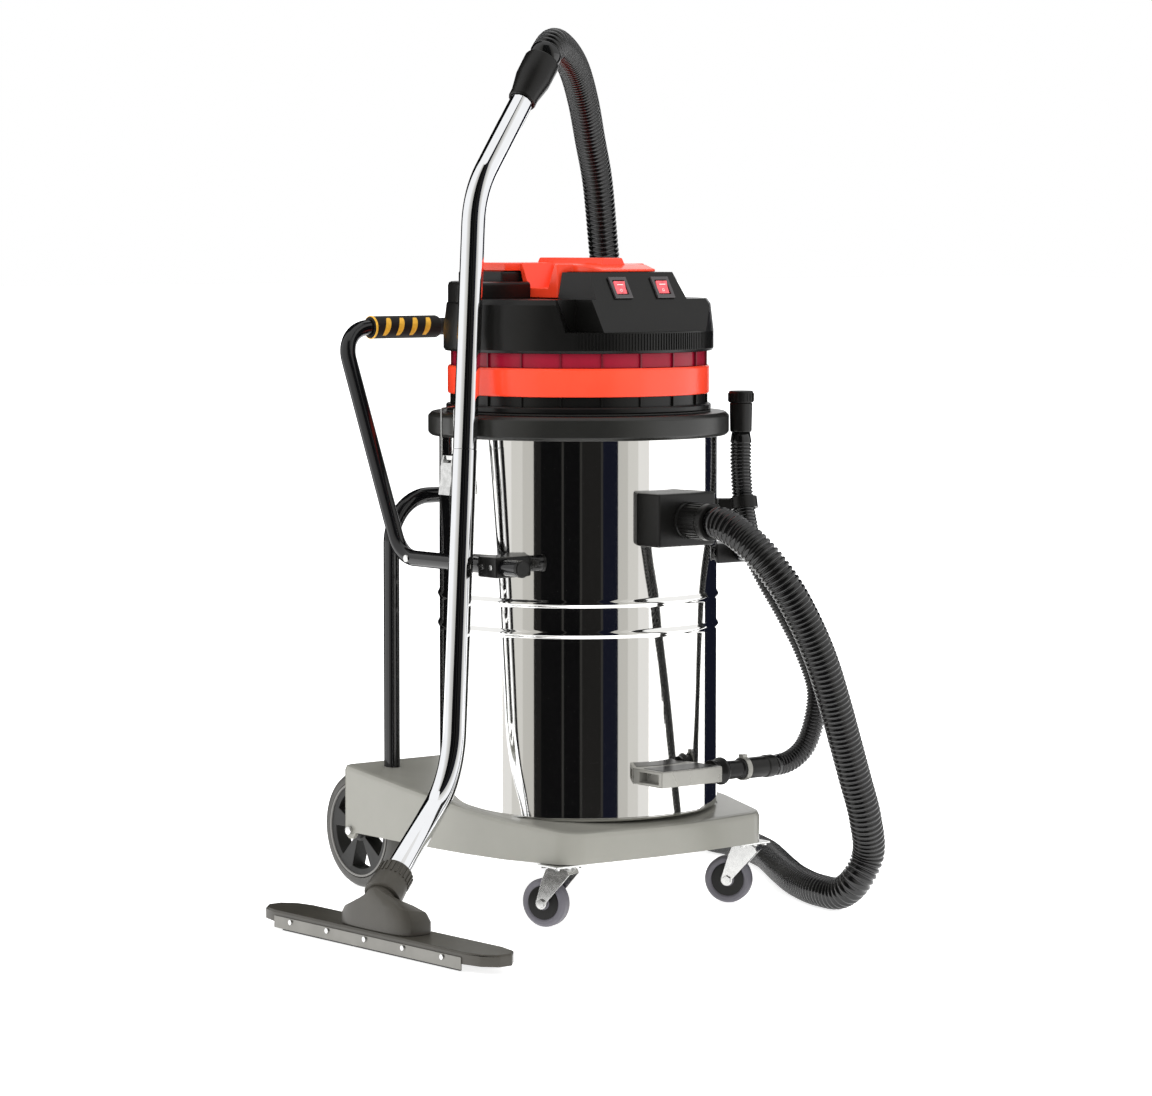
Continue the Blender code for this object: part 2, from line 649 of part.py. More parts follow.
def build_drain_clip(black):
    low, high = DRAIN_CLIP_Z
    route = smooth_route(DRAIN_ROUTE, 200)
    middle = min(range(len(route)), key=lambda i: abs(route[i].z - (low + high) / 2))
    centre = route[middle]
    ahead = (route[middle + 3] - route[middle - 3]).normalized()
    outward = Vector((centre.x, centre.y, 0)).normalized()
    across = Vector((-outward.y, outward.x, 0))
    frame = Matrix((outward, across, Vector((0, 0, 1)))).transposed().to_4x4()
    reach = Vector((centre.x, centre.y, 0)).length
    clip = solid("drain_clip", block((0.205, -0.012, low), (reach - 0.0190, 0.012, high), 0.0015, frame), black)
    half = (high - low) / 2
    join(clip, rod(0.0225, centre - ahead * half, centre + ahead * half, 24))
    cut(clip, rod(DRAIN_HOSE_R + 0.0015, centre - ahead * 0.03, centre + ahead * 0.03, 24))
    cut(clip, rod(TANK_R + 0.0006, (0, 0, 0.5), (0, 0, 0.7), 96))


# ---- head ------------------------------------------------------------------------------
def build_head_base(black):
    low, high = FLANGE_Z
    spigot = RING_BORE_R - 0.0020
    profile = [
        (0, MOTOR_DECK_Z - 0.005), (spigot - 0.003, MOTOR_DECK_Z - 0.005), (spigot, MOTOR_DECK_Z - 0.002), (spigot, low), (FLANGE_R - 0.0015, low),
        (FLANGE_R, low + 0.002), (FLANGE_R, high - 0.002), (FLANGE_R - 0.002, high), (0.2010, high),
        (0.2010, BAND_Z[0] - GAP), (0.1950, BAND_Z[0] - GAP), (0.1950, MOTOR_DECK_Z), (0, MOTOR_DECK_Z),
    ]
    base = solid("head_base", turned(profile, 48), black)
    for sign in (-1, 1):
        cut(base, rod(0.030, (sign * MOTOR_X, 0, 0.7), (sign * MOTOR_X, 0, 0.8), 24))


def build_seal(rubber):
    low, high = RING_Z[1] + GAP, FLANGE_Z[0] - GAP
    solid("tank_seal", turned([(0.2050, low), (0.2085, low), (0.2085, high), (0.2050, high)], 48), rubber)


def build_bands(orange, red):
    low, high = BAND_Z
    profile = [(0.1945, low), (BAND_R - 0.001, low), (BAND_R, low + 0.003), (BAND_R, high - 0.003), (BAND_R - 0.002, high), (0.1945, high)]
    solid("orange_band", turned(profile, 48), orange)
    low, high = high + GAP, FINS_TOP_Z
    solid("vent_band", turned([(0.1900, low), (FINS_R, low), (FINS_R, high), (0.1900, high)], 48), red)


def console_profile(z):
    return CONSOLE_Y - CONSOLE_SLOPE * (CONSOLE_Z - z)


def panel_frame(x, z, proud=0.0):
    """Frame on the slanted panel: X across, Y up the slope, Z out of the panel."""
    up = Vector((0, CONSOLE_SLOPE, 1)).normalized()
    right = Vector((1, 0, 0))
    out = right.cross(up)
    frame = Matrix((right, up, out)).transposed().to_4x4()
    frame.translation = Vector((x, console_profile(z), z)) + out * proud
    return frame


def build_cover(black):
    r, t = COVER_R, COVER_TOP_R
    profile = [
        (0, COVER_BOTTOM_Z + 0.010), (0.1990, COVER_BOTTOM_Z + 0.010), (0.2010, COVER_BOTTOM_Z), (r - 0.003, COVER_BOTTOM_Z),
        (r, COVER_BOTTOM_Z + 0.004), (r, COVER_RIM_Z), (t + 0.002, LEDGE_Z - 0.008), (t - 0.004, LEDGE_Z), (0, LEDGE_Z),
    ]
    cover = solid("head_cover", turned(profile, 64), black, smooth=40.0)
    rear = [(t * math.cos(a), t * math.sin(a)) for a in (math.radians(3 + 174 * k / 24) for k in range(25))]
    deck = prism(rear, LEDGE_Z - 0.010, DECK_Z)
    bmesh.ops.recalc_face_normals(deck, faces=deck.faces)
    edges = [e for e in deck.edges if all(v.co.z > DECK_Z - 1e-6 for v in e.verts)]
    bmesh.ops.bevel(deck, geom=edges, offset=0.006, segments=2, profile=0.5, affect="EDGES")
    join(cover, deck)
    join(cover, block((-0.125, 0.0375, 0.950), (0.125, 0.150, BLOCK_Z), 0.004))
    console = prism([(-0.0925, 0.950), (0.0925, 0.950), (0.083, CONSOLE_Z), (-0.083, CONSOLE_Z)], -0.175, -0.0620, "Y")
    join(cover, console)
    wedge = [
        (console_profile(COVER_RIM_Z), COVER_RIM_Z), (console_profile(1.06), 1.06), (-0.30, 1.06), (-0.30, COVER_RIM_Z),
    ]
    cut(cover, prism(wedge, -0.104, 0.25, "X"))
    valley = [(-0.172, -0.174), (-0.112, -0.116), (-0.100, -0.116), (-0.100, -0.30), (-0.172, -0.30)]
    hollow = prism(valley, COVER_RIM_Z - 0.0004, 1.06)
    for corner in hollow.verts:
        if corner.co.x < -0.105 and corner.co.z > 1.0:
            corner.co.x -= 0.075
    cut(cover, hollow)
    cut(cover, block((-0.0884, -0.0600, LEDGE_Z + 0.0010), (0.0884, 0.0372, 1.06)))
    inside = [
        (0, 0.86), (0.1960, 0.86), (0.1960, 0.894), (0.188, 0.9025), (0.150, 0.9030), (0.140, 0.950), (0, 0.950),
    ]
    cut(cover, turned(inside, 24))
    for x in SWITCH_X:
        w, h = SWITCH_SIZE[0] / 2 - 0.003, SWITCH_SIZE[1] / 2 - 0.003
        cut(cover, block((-w, -h, -0.040), (w, h, 0.010), 0.0, panel_frame(x, SWITCH_Z)))


def build_switch(side, clear, red):
    x = SWITCH_X[0] if side == "left" else SWITCH_X[1]
    frame = panel_frame(x, SWITCH_Z)
    w, h = SWITCH_SIZE[0] / 2, SWITCH_SIZE[1] / 2
    bezel = solid(f"switch_bezel_{side}", block((-w, -h, GAP), (w, h, 0.0035), 0.0008, frame), clear)
    neck = 0.0034
    join(bezel, block((-w + neck, -h + neck, -0.016), (w - neck, h - neck, 0.002), 0.0, frame))
    cut(bezel, block((-w + 0.0062, -h + 0.0062, -0.013), (w - 0.0062, h - 0.0062, 0.02), 0.0, frame))
    half = h - 0.0085
    rocker = [(-half, 0.0012), (0.0, 0.0020), (half, 0.0050), (half * 0.90, -0.0015), (0.0, -0.0085), (-half * 0.90, -0.0045)]
    bm = prism(rocker, -w + 0.0068, w - 0.0068, "X")
    bmesh.ops.transform(bm, matrix=frame, verts=bm.verts)
    pivot = frame @ Vector((0, 0, -0.003))
    solid(f"switch_rocker_{side}", bm, red, pivot)


def build_cap(orange):
    """Top cover: a folded trough, open to both sides, with a carrying bar across it."""
    trough = [
        (0.1450, BLOCK_Z + GAP), (0.1450, CAP_TOP_Z - 0.003), (0.1420, CAP_TOP_Z), (0.0330, CAP_TOP_Z), (0.0130, 0.9730),
        (-0.0330, 0.9730), (-0.0480, CAP_TOP_Z - 0.001), (-0.0900, CAP_TOP_Z - 0.003), (-0.1240, CONSOLE_Z + 0.0045),
        (-0.1240, CONSOLE_Z + GAP), (-0.0600, CONSOLE_Z + GAP), (-0.0590, LEDGE_Z + 0.0015), (0.0230, LEDGE_Z + 0.0015), (0.0365, BLOCK_Z + GAP),
    ]
    cap = solid("top_cover", prism(trough, -0.119, 0.119, "X"), orange)
    for sign in (-1, 1):
        plan = [(sign * 0.0880, 0.0365), (sign * 0.0880, -0.0560), (sign * 0.0640, -0.0640), (sign * 0.0640, -0.0900), (sign * 0.0520, -0.1300)]
        plan += [(sign * 0.1300, -0.1300), (sign * 0.1300, 0.0365)]
        cut(cap, prism(plan, 0.94, 1.03))
    bar = [(-0.0230, 1.0000), (0.0230, 1.0000), (0.0255, 1.0080), (0.0190, GRIP_BAR_Z), (-0.0190, GRIP_BAR_Z), (-0.0255, 1.0080)]
    join(cap, prism(bar, -0.0850, 0.0750, "Y"))


def build_motor(side, grey, black):
    x = side_sign(side) * MOTOR_X
    low = MOTOR_DECK_Z + 0.0005
    profile = [
        (0.0220, low), (0.0700, low), (0.0700, low + 0.042), (0.0500, low + 0.048), (0.0500, 0.900), (0.0350, 0.925), (0, 0.925),
        (0, 0.835), (0.0045, 0.835), (0.0045, 0.8060), (0.0640, 0.8060), (0.0640, low + 0.004), (0.0220, low + 0.004),
    ]
    solid(f"motor_{side}", turned(profile, 24, Matrix.Translation((x, 0, 0))), grey)
    fan = [
        (0, 0.780), (FAN_R, 0.780), (FAN_R, 0.7815), (0.030, 0.7830), (0.030, 0.7950), (FAN_R, 0.7965), (FAN_R, 0.7980),
        (0.0040, 0.7980), (0.0040, 0.8300), (0, 0.8300),
    ]
    solid(f"impeller_{side}", turned(fan, 24, Matrix.Translation((x, 0, 0))), black, (x, 0, 0.79))


def build_cage(grey, white):
    low, high = CAGE_Z
    heights = (low, low + 0.030, high - 0.030, high)
    columns = 24

    def at(i, j, side):
        a = math.tau * i / columns
        share = (heights[j] - low) / (high - low)
        radius = CAGE_R[1] + (CAGE_R[0] - CAGE_R[1]) * share - 0.003 * side
        return Vector((radius * math.cos(a), radius * math.sin(a), heights[j]))

    cage = solid("filter_cage", cells(columns, 3, lambda i, j: j != 1 or i % 2 == 0, at), grey)
    cup = [(0.0350, low - 0.002), (CAGE_R[1], low - 0.002), (CAGE_R[1], low + 0.004), (0.0300, low + 0.004)]
    join(cage, turned(cup, 24))
    ball = []
    centre = low + 0.004 + FLOAT_R - 0.006
    for k in range(13):
        a = math.radians(-90 + 15 * k)
        ball.append((max(0.0, FLOAT_R * math.cos(a)), centre + FLOAT_R * math.sin(a)))
    solid("float_ball", turned(ball, 24), white, (0, 0, centre))


def build_gland(black):
    start = Vector((0, 0.2046, 0.930))
    profile = [(0, 0), (0.0130, 0), (0.0130, 0.010), (0.0095, 0.012), (0.0070, 0.040), (0.0045, 0.040), (0.0045, 0.006), (0, 0.006)]
    tilt = Vector((0, 1, 0))
    gland = solid("cable_gland", turned(profile, 16, along(start, tilt)), black)
    cut(gland, turned([(0, 0.86), (COVER_R + 0.0007, 0.86), (COVER_R + 0.0007, COVER_RIM_Z), (0.2087, 0.950), (0, 0.950)], 64))


# ---- latches ---------------------------------------------------------------------------
def build_latch(side, steel):
    sign = side_sign(side)
    px, pz = LATCH_PIVOT
    bx, bz = BAIL_PIVOT
    half = LATCH_WIDTH / 2
    y0, y1 = LATCH_Y - half, LATCH_Y + half

    def xz(points):
        return [(sign * x, z) for x, z in points]

    base = [(0.2180, 0.664), (0.2245, 0.664), (0.2245, 0.7030), (px + 0.0035, pz - 0.0035), (px + 0.0035, pz + 0.0035), (px - 0.0035, pz + 0.0035), (0.2180, 0.7200)]
    foot = solid(f"latch_base_{side}", prism(xz(base), y0 + 0.0045, y1 - 0.0045, "Y"), steel)
    cut(foot, rod(TANK_R + 0.0008, (0, 0, 0.6), (0, 0, 0.74), 96))
    cut(foot, rod(0.0021, (sign * px, -0.05, pz), (sign * px, 0.08, pz), 12))
    lever = [
        (px - 0.0035, pz + 0.0035), (px + 0.0050, pz + 0.0035), (bx + 0.0045, bz), (0.2480, 0.6800), (0.2520, 0.6550),
        (0.2490, 0.6540), (0.2440, 0.6780), (bx - 0.0035, bz - 0.0040), (px - 0.0035, pz - 0.0035),
    ]
    pivot = (sign * px, LATCH_Y, pz)
    bm = prism(xz(lever), y0, y1, "Y")
    handle = solid(f"latch_lever_{side}", bm, steel, pivot)
    slot = block((-0.0600, y0 + 0.0040, 0.7045), (0.0600, y1 - 0.0040, 0.7300), 0.0, Matrix.Translation((sign * px, 0, 0)))
    cut(handle, slot)
    cut(handle, block((-0.0600, y0 + 0.0040, 0.6860), (0.00745, y1 - 0.0040, 0.7060), 0.0, Matrix.Translation((sign * px, 0, 0)))
        if sign > 0 else
        block((-0.00745, y0 + 0.0040, 0.6860), (0.0600, y1 - 0.0040, 0.7060), 0.0, Matrix.Translation((sign * px, 0, 0))))
    join(handle, rod(0.0018, (sign * px, y0 + 0.001, pz), (sign * px, y1 - 0.001, pz), 12))
    cut(handle, rod(0.0019, (sign * bx, y0 - 0.01, bz), (sign * bx, y1 + 0.01, bz), 12))
    wire = 0.0014
    out = half + 0.0022
    corners = [
        (sign * bx, LATCH_Y - half + 0.001, bz), (sign * bx, LATCH_Y - out, bz), (sign * bx, LATCH_Y - out, 0.7880),
        (sign * BAIL_BAR_X, LATCH_Y - 0.010, 0.7910), (sign * BAIL_BAR_X, LATCH_Y + 0.010, 0.7910),
        (sign * bx, LATCH_Y + out, 0.7880), (sign * bx, LATCH_Y + out, bz), (sign * bx, LATCH_Y + half - 0.001, bz),
    ]
    solid(f"latch_bail_{side}", swept(filleted(corners, 0.0020, 2), wire, 0.0, 8), steel, (sign * bx, LATCH_Y, bz))


# ---- wand and floor tool ---------------------------------------------------------------
def wand_path():
    return filleted([WAND_NECK, WAND_LOW_BEND, WAND_HIGH_BEND, WAND_TOP], WAND_BEND_R, 7)


def trimmed(path, start, end):
    """The part of a path between two distances along it."""
    out = []
    done = 0.0
    for a, b in zip(path, path[1:]):
        step = (b - a).length
        for want in (start, end):
            if done <= want < done + step:
                out.append(a.lerp(b, (want - done) / step))
        if start < done + step < end - 1e-4:
            out.append(b)
        done += step
    return out


def build_wand(chrome, black, grey):
    path = wand_path()
    lengths = [0.0]
    for a, b in zip(path, path[1:]):
        lengths.append(lengths[-1] + (b - a).length)
    straight = next(i for i, p in enumerate(path) if p.z > WAND_JOINT_Z)
    low, high = path[straight - 1], path[straight]
    share = (WAND_JOINT_Z - low.z) / (high.z - low.z)
    joint = lengths[straight - 1] + (lengths[straight] - lengths[straight - 1]) * share
    top = lengths[-1] - WAND_CUFF_LENGTH + 0.030
    solid("wand_lower", swept(trimmed(path, 0.0040, joint), WAND_R, WAND_R - 0.0015, 16), chrome)
    solid("wand_upper", swept(trimmed(path, joint + GAP, top), WAND_R - 0.0004, WAND_R - 0.0019, 16), chrome)
    ahead = (path[-1] - path[-2]).normalized()
    start = WAND_TOP - ahead * WAND_CUFF_LENGTH
    length = WAND_CUFF_LENGTH
    cuff = [
        (WAND_R, 0), (0.0215, 0), (0.0225, 0.003), (0.0225, 0.014), (0.0280, 0.045), (0.0285, length - 0.003), (0.0275, length),
        (0.0150, length), (0.0150, 0.0320), (WAND_R, 0.0320),
    ]
    solid("wand_cuff", turned(cuff, 24, along(start, ahead)), black)
    ahead = (WAND_LOW_BEND - WAND_NECK).normalized()
    inner = WAND_R + GAP
    collar = [
        (inner, 0), (0.0290, 0), (0.0295, 0.003), (0.0280, 0.026), (0.0262, 0.030), (0.0262, COLLAR_LENGTH - 0.002),
        (0.0245, COLLAR_LENGTH), (inner, COLLAR_LENGTH),
    ]
    start = WAND_NECK + ahead * (NECK_RISE + 0.0006)
    solid("wand_collar", turned(collar, 24, along(start, ahead)), grey, start)


def stadium(length, width, steps=5):
    """Outline in plan of a plate with rounded ends, long side along Y, round the tool's middle."""
    reach = length / 2 - width * 0.75
    out = []
    for sign, start in ((1, 0.0), (-1, 180.0)):
        for k in range(steps + 1):
            a = math.radians(start + 180.0 * k / steps)
            out.append((TOOL_AT.x + math.cos(a) * width / 2, TOOL_AT.y + sign * reach + math.sin(a) * width * 0.75))
    return out


def build_tool(grey, rubber, steel):
    low, high = TOOL_Z
    bm = prism(stadium(TOOL_LENGTH, TOOL_WIDTH), low, high)
    bmesh.ops.recalc_face_normals(bm, faces=bm.faces)
    top = max(bm.faces, key=lambda f: f.normal.z * f.calc_area())
    bmesh.ops.bevel(bm, geom=top.edges[:], offset=0.003, segments=2, profile=0.5, affect="EDGES")
    plate = solid("tool_plate", bm, grey)
    cut(plate, prism(stadium(TOOL_LENGTH - 0.010, TOOL_WIDTH - 0.010), 0.0, high - 0.005))
    cut(plate, block((TOOL_AT.x - 0.018, TOOL_AT.y - 0.030, 0.0), (TOOL_AT.x + 0.018, TOOL_AT.y + 0.030, 0.05)))
    ahead = (WAND_LOW_BEND - WAND_NECK).normalized()
    build_hood(ahead, grey)
    for name, x in (("squeegee_front", -0.0300), ("squeegee_rear", 0.0300)):
        lip = block((TOOL_AT.x + x - 0.0022, TOOL_AT.y - 0.222, 0.0), (TOOL_AT.x + x + 0.0022, TOOL_AT.y + 0.222, high - 0.0053))
        solid(name, lip, rubber)
    x = TOOL_AT.x - TOOL_WIDTH / 2 - GAP
    strip = block((x - 0.0015, TOOL_AT.y - 0.234, low - 0.0080), (x, TOOL_AT.y + 0.234, low + 0.0105))
    solid("squeegee_strip", strip, steel)


def build_hood(ahead, grey):
    """Hollow hood: a round neck that widens into a long base on the plate."""
    sides = 24
    base = TOOL_AT + Vector((0, 0, TOOL_Z[1] + GAP))
    across = (Vector((1, 0, 0)) - ahead * ahead.x).normalized()
    beside = ahead.cross(across)
    bm = bmesh.new()
    rings = []
    for wall in (0.0, 0.004):
        stack = []
        for level, (share, rise) in enumerate(HOOD_LEVELS):
            ring = []
            for k in range(sides):
                a = math.tau * k / sides
                c, s = math.cos(a), math.sin(a)
                x = abs(c) ** 0.45 * math.copysign(0.032 - wall, c)
                low = base + Vector((x, abs(s) ** 0.6 * math.copysign(0.088 - wall, s), 0.0))
                r = 0.0235 - wall
                high = WAND_NECK + (across * c + beside * s) * r + ahead * (NECK_RISE if level == 5 else 0.0)
                point = low.lerp(high, share)
                point.z = low.z + (high.z - low.z) * rise
                ring.append(bm.verts.new(point))
            stack.append(ring)
        rings.append(stack)
    for stack in rings:
        for a, b in zip(stack, stack[1:]):
            for k in range(sides):
                n = (k + 1) % sides
                bm.faces.new([a[k], a[n], b[n], b[k]])
    for level in (0, -1):
        for k in range(sides):
            n = (k + 1) % sides
            outer, inner = rings[0][level], rings[1][level]
            bm.faces.new([outer[k], outer[n], inner[n], inner[k]])
    solid("tool_hood", bm, grey)


# ---- the whole machine -----------------------------------------------------------------
def build():
    black = material("black_plastic", (0.020, 0.020, 0.021), 0.45)
    gloss = material("black_paint", (0.012, 0.012, 0.013), 0.12)
    grey = material("grey_plastic", (0.42, 0.41, 0.37), 0.35)
    steel = material("stainless", (0.80, 0.79, 0.76), 0.10, 1.0)
    chrome = material("chrome", (0.86, 0.87, 0.89), 0.05, 1.0)
    zinc = material("zinc", (0.70, 0.70, 0.69), 0.30, 1.0)
    orange = material("orange_plastic", (0.90, 0.065, 0.022), 0.30)
    red = material("red_plastic", (0.58, 0.010, 0.020), 0.35)
    rubber = material("rubber", (0.030, 0.030, 0.030), 0.70)
    tyre = material("grey_tyre", (0.130, 0.125, 0.145), 0.55)
    dark = material("dark_grey_plastic", (0.085, 0.080, 0.072), 0.40)
    hose_black = material("hose", (0.010, 0.010, 0.010), 0.20)
    foam = material("foam", (0.018, 0.016, 0.016), 0.80)
    red_clear = material("red_lens", (0.75, 0.020, 0.030), 0.15)
    white = material("float", (0.80, 0.80, 0.78), 0.40)

    build_platform(grey)
    build_rear_axle(steel)
    for side in ("left", "right"):
        build_rear_wheel(side, dark)
        build_castor(side, zinc, tyre)
        build_clamp(side, black)
        build_latch(side, zinc)
        build_switch(side, black, red_clear)
        build_motor(side, grey, black)
    build_rear_frame(gloss)
    build_push_handle(gloss, foam)
    build_tank(steel)
    build_ring(black)
    build_inlet(black, black)
    build_drain(steel, black)
    build_drain_top(black)
    build_drain_clip(black)
    build_head_base(black)
    build_seal(rubber)
    build_bands(orange, red)
    build_cover(black)
    build_cap(orange)
    build_cage(grey, white)
    build_gland(black)
    build_wand(chrome, black, dark)
    build_tool(dark, rubber, steel)
    hose("main_hose", HOSE_ROUTE, HOSE_R, 70, hose_black)
    hose("drain_hose", DRAIN_ROUTE, DRAIN_HOSE_R, 24, hose_black)


clear_scene()
MACHINE = bpy.data.objects.new("machine", None)
MACHINE.location = TANK_AXIS_AT
bpy.context.scene.collection.objects.link(MACHINE)
build()
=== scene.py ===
"""Looks of a wet and dry vacuum cleaner on a trolley.  Lengths are metres, in the machine's own
frame: the tank's axis is X = 0, Y = 0, the front is -Y, and "left" is the -X side."""
import json
import math

import bmesh
import bpy
from mathutils import Matrix, Vector

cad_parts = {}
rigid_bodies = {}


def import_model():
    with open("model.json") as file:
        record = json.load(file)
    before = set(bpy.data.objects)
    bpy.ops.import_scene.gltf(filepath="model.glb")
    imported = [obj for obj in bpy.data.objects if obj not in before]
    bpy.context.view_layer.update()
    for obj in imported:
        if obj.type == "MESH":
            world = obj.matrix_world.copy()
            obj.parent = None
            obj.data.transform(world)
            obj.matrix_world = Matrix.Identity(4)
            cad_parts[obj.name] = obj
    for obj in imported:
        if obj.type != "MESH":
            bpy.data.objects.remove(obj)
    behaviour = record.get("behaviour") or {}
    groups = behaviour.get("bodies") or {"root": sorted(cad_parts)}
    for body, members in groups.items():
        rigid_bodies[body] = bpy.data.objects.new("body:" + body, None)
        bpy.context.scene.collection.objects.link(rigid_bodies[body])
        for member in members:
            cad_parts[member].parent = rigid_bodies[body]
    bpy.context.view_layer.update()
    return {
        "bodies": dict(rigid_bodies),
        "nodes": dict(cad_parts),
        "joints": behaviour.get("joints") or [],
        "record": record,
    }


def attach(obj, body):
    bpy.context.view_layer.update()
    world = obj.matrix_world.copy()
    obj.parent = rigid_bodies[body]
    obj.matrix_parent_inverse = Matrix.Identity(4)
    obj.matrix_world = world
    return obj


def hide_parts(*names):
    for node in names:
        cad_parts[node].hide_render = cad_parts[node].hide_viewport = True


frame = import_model()
PIECES = []                       # (object, CAD node or None, body, bevel width, smoothing angle)
CUTTERS = []
FINE = 3                          # segments per segment of the CAD
EDGES = {                         # bevel widths that differ from the usual one
    "head_cover": 0.0022, "platform": 0.002, "top_cover": 0.0022, "inlet_box": 0.0025, "tool_plate": 0.0018,
    "bumper_ring": 0.0015,
}
EDGE_ANGLE = 28.0                 # edges sharper than this, in degrees, are rounded

# ---- driving dimensions ----------------------------------------------------------------
AXIS = Vector((0.1417, 0.0204, 0.0))  # the tank's axis, from the middle of the footprint
GAP = 0.0003                      # running gap between neighbouring pieces

TANK_R = 0.22
TANK_WALL = 0.0015
TANK_FLOOR_Z = 0.1555
TANK_RIM_Z = 0.7725
TANK_BEADS_Z = (0.445, 0.492)
BEAD_HEIGHT = 0.003

RING_R = 0.2375
RING_BORE_R = 0.2045
RING_Z = (0.742, 0.779)

PLATFORM_FRONT_Y = -0.2275
PLATFORM_REAR_Y = 0.34
PLATFORM_SKIRT_Z = (0.1, 0.092)   # skirt's lower edge, front and rear
PLATFORM_TOP_Z = (0.1485, 0.2016)   # deck, front and rear

REAR_WHEEL_R = 0.095
REAR_WHEEL_X = (0.1715, 0.2035)
REAR_AXLE_Y = 0.3165
REAR_AXLE_Z = REAR_WHEEL_R
AXLE_R = 0.006

CASTOR_X = 0.187
CASTOR_Y = -0.191
CASTOR_WHEEL_R = 0.0375
CASTOR_WHEEL_W = 0.024
CASTOR_TRAIL = 0.028
CASTOR_TOP_Z = 0.0986
CASTOR_TURN = {"left": 22.0, "right": 36.0}

FLANGE_R = 0.209
FLANGE_Z = (0.782, 0.792)
BAND_R = 0.2066
BAND_Z = (0.808, 0.852)
FINS_R = 0.2
FINS_TOP_Z = 0.8745
COVER_R = 0.213
COVER_TOP_R = 0.206
COVER_BOTTOM_Z = 0.875
COVER_RIM_Z = 0.907
LEDGE_Z = 0.9565
DECK_Z = 0.983
BLOCK_Z = 0.9992
CONSOLE_Z = 0.998
CONSOLE_Y = -0.13
CONSOLE_SLOPE = 0.61              # run over rise of the slanted switch panel
CAP_TOP_Z = 1.012
GRIP_BAR_Z = 1.02

SWITCH_X = (-0.036, 0.049)
SWITCH_Z = 0.9735
SWITCH_SIZE = (0.036, 0.038)      # bezel, across and along the slope

MOTOR_X = 0.085
MOTOR_DECK_Z = 0.77
FAN_R = 0.058
CAGE_R = (0.128, 0.098)
CAGE_Z = (0.6, 0.7645)
FLOAT_R = 0.036

TUBE_R = 0.0125                   # push handle
FRAME_TUBE_R = 0.013
HANDLE_X = 0.238
HANDLE_RUN_Z = 0.55
HANDLE_FRONT_Y = -0.16
HANDLE_ELBOW_Y = 0.15
HANDLE_TOP = (0.31, 0.907)       # y, z of the crossbar
FRAME_AT = (0.153, 0.291)
FRAME_FOOT_Z = 0.15
FRAME_TOP_Z = 0.634

INLET_Z = 0.62
INLET_FRONT_Y = -0.265
CUFF_FRONT_Y = -0.325
HOSE_R = 0.0255

DRAIN_Z = 0.225
DRAIN_Y = -0.25
DRAIN_HOSE_R = 0.017
DRAIN_TOP = Vector((0.2092, -0.15, 0.745))
DRAIN_CLIP_Z = (0.622, 0.64)

WAND_R = 0.019
WAND_NECK = Vector((-0.5156, -0.1702, 0.0743))    # where the wand meets the floor tool
WAND_LOW_BEND = Vector((-0.3121, -0.0804, 0.23))
WAND_HIGH_BEND = Vector((-0.2168, -0.0136, 1.12))
WAND_TOP = Vector((-0.043, 0.0376, 1.327))       # hose end of the cuff
WAND_BEND_R = 0.16
WAND_JOINT_Z = 0.728
WAND_CUFF_LENGTH = 0.085
COLLAR_LENGTH = 0.055
NECK_RISE = 0.006                 # of the floor tool's round neck, along the wand

TOOL_AT = Vector((-0.5, -0.1625, 0.0))
TOOL_LENGTH = 0.585
TOOL_WIDTH = 0.075
TOOL_Z = (0.012, 0.03)
HOOD_LEVELS = ((0.0, 0.0), (0.0, 0.35), (0.12, 0.62), (0.45, 0.79), (1.0, 1.0), (1.0, 1.0))

LATCH_Y = 0.02
LATCH_PIVOT = (0.238, 0.712)      # x, z of the lever's pin
BAIL_PIVOT = (0.2435, 0.698)      # x, z of the bail's eye in the lever
LATCH_WIDTH = 0.028
BAIL_BAR_X = FLANGE_R + 0.0025      # bar of the bail, against the edge of the head flange

BAND_RIBS = 20                    # upright ribs on the bands, first one at this angle
BAND_RIB_START = -118.8
COVER_FINS = 58                   # fins on the cover's rim, over this many degrees
COVER_FIN_SPAN = 79.2
SPOKES = 5                        # of a rear wheel
STRIP_BOLTS = 5
STRIP_BOLT_PITCH = 0.095
GRIP_PATCHES = 4
GRIP_PATCH_PITCH = 0.0265
MAIN_RIBS = (0.0034, 0.0084)      # depth and pitch of a hose's ribs
DRAIN_RIBS = (0.0026, 0.006)

# ---- the hoses' routes, as points that a smooth curve passes through --------------------
HOSE_ROUTE = (
    (0.0, -0.3254, 0.62), (0.0, -0.34, 0.62), (0.003, -0.373, 0.609), (0.018, -0.411, 0.578),
    (0.046, -0.4359, 0.53), (0.079, -0.4436, 0.476), (0.113, -0.4449, 0.414),
    (0.145, -0.4388, 0.35), (0.175, -0.4309, 0.287), (0.205, -0.4231, 0.222),
    (0.2345, -0.415, 0.157), (0.2582, -0.3968, 0.094), (0.2449, -0.3822, 0.052),
    (0.2432, -0.35, 0.03), (0.2502, -0.2942, 0.0262), (0.2836, -0.2085, 0.0262),
    (0.344, -0.105, 0.0262), (0.402, -0.014, 0.0262), (0.4349, 0.0403, 0.0262), (0.47, 0.12, 0.0262),
    (0.488, 0.19, 0.0262), (0.49, 0.262, 0.03), (0.478, 0.312, 0.062),
    (0.46, 0.34, 0.13), (0.442, 0.352, 0.23), (0.42, 0.357, 0.38),
    (0.3994, 0.3583, 0.55), (0.3752, 0.3523, 0.75), (0.3478, 0.3422, 0.9),
    (0.3162, 0.3228, 1.03), (0.272, 0.286, 1.146), (0.229, 0.252, 1.211),
    (0.176, 0.205, 1.273), (0.105, 0.143, 1.325), (0.034, 0.086, 1.351),
    (-0.007, 0.056, 1.355), (-0.0342, 0.0402, 1.3375), (-0.0428, 0.0377, 1.3273),
)
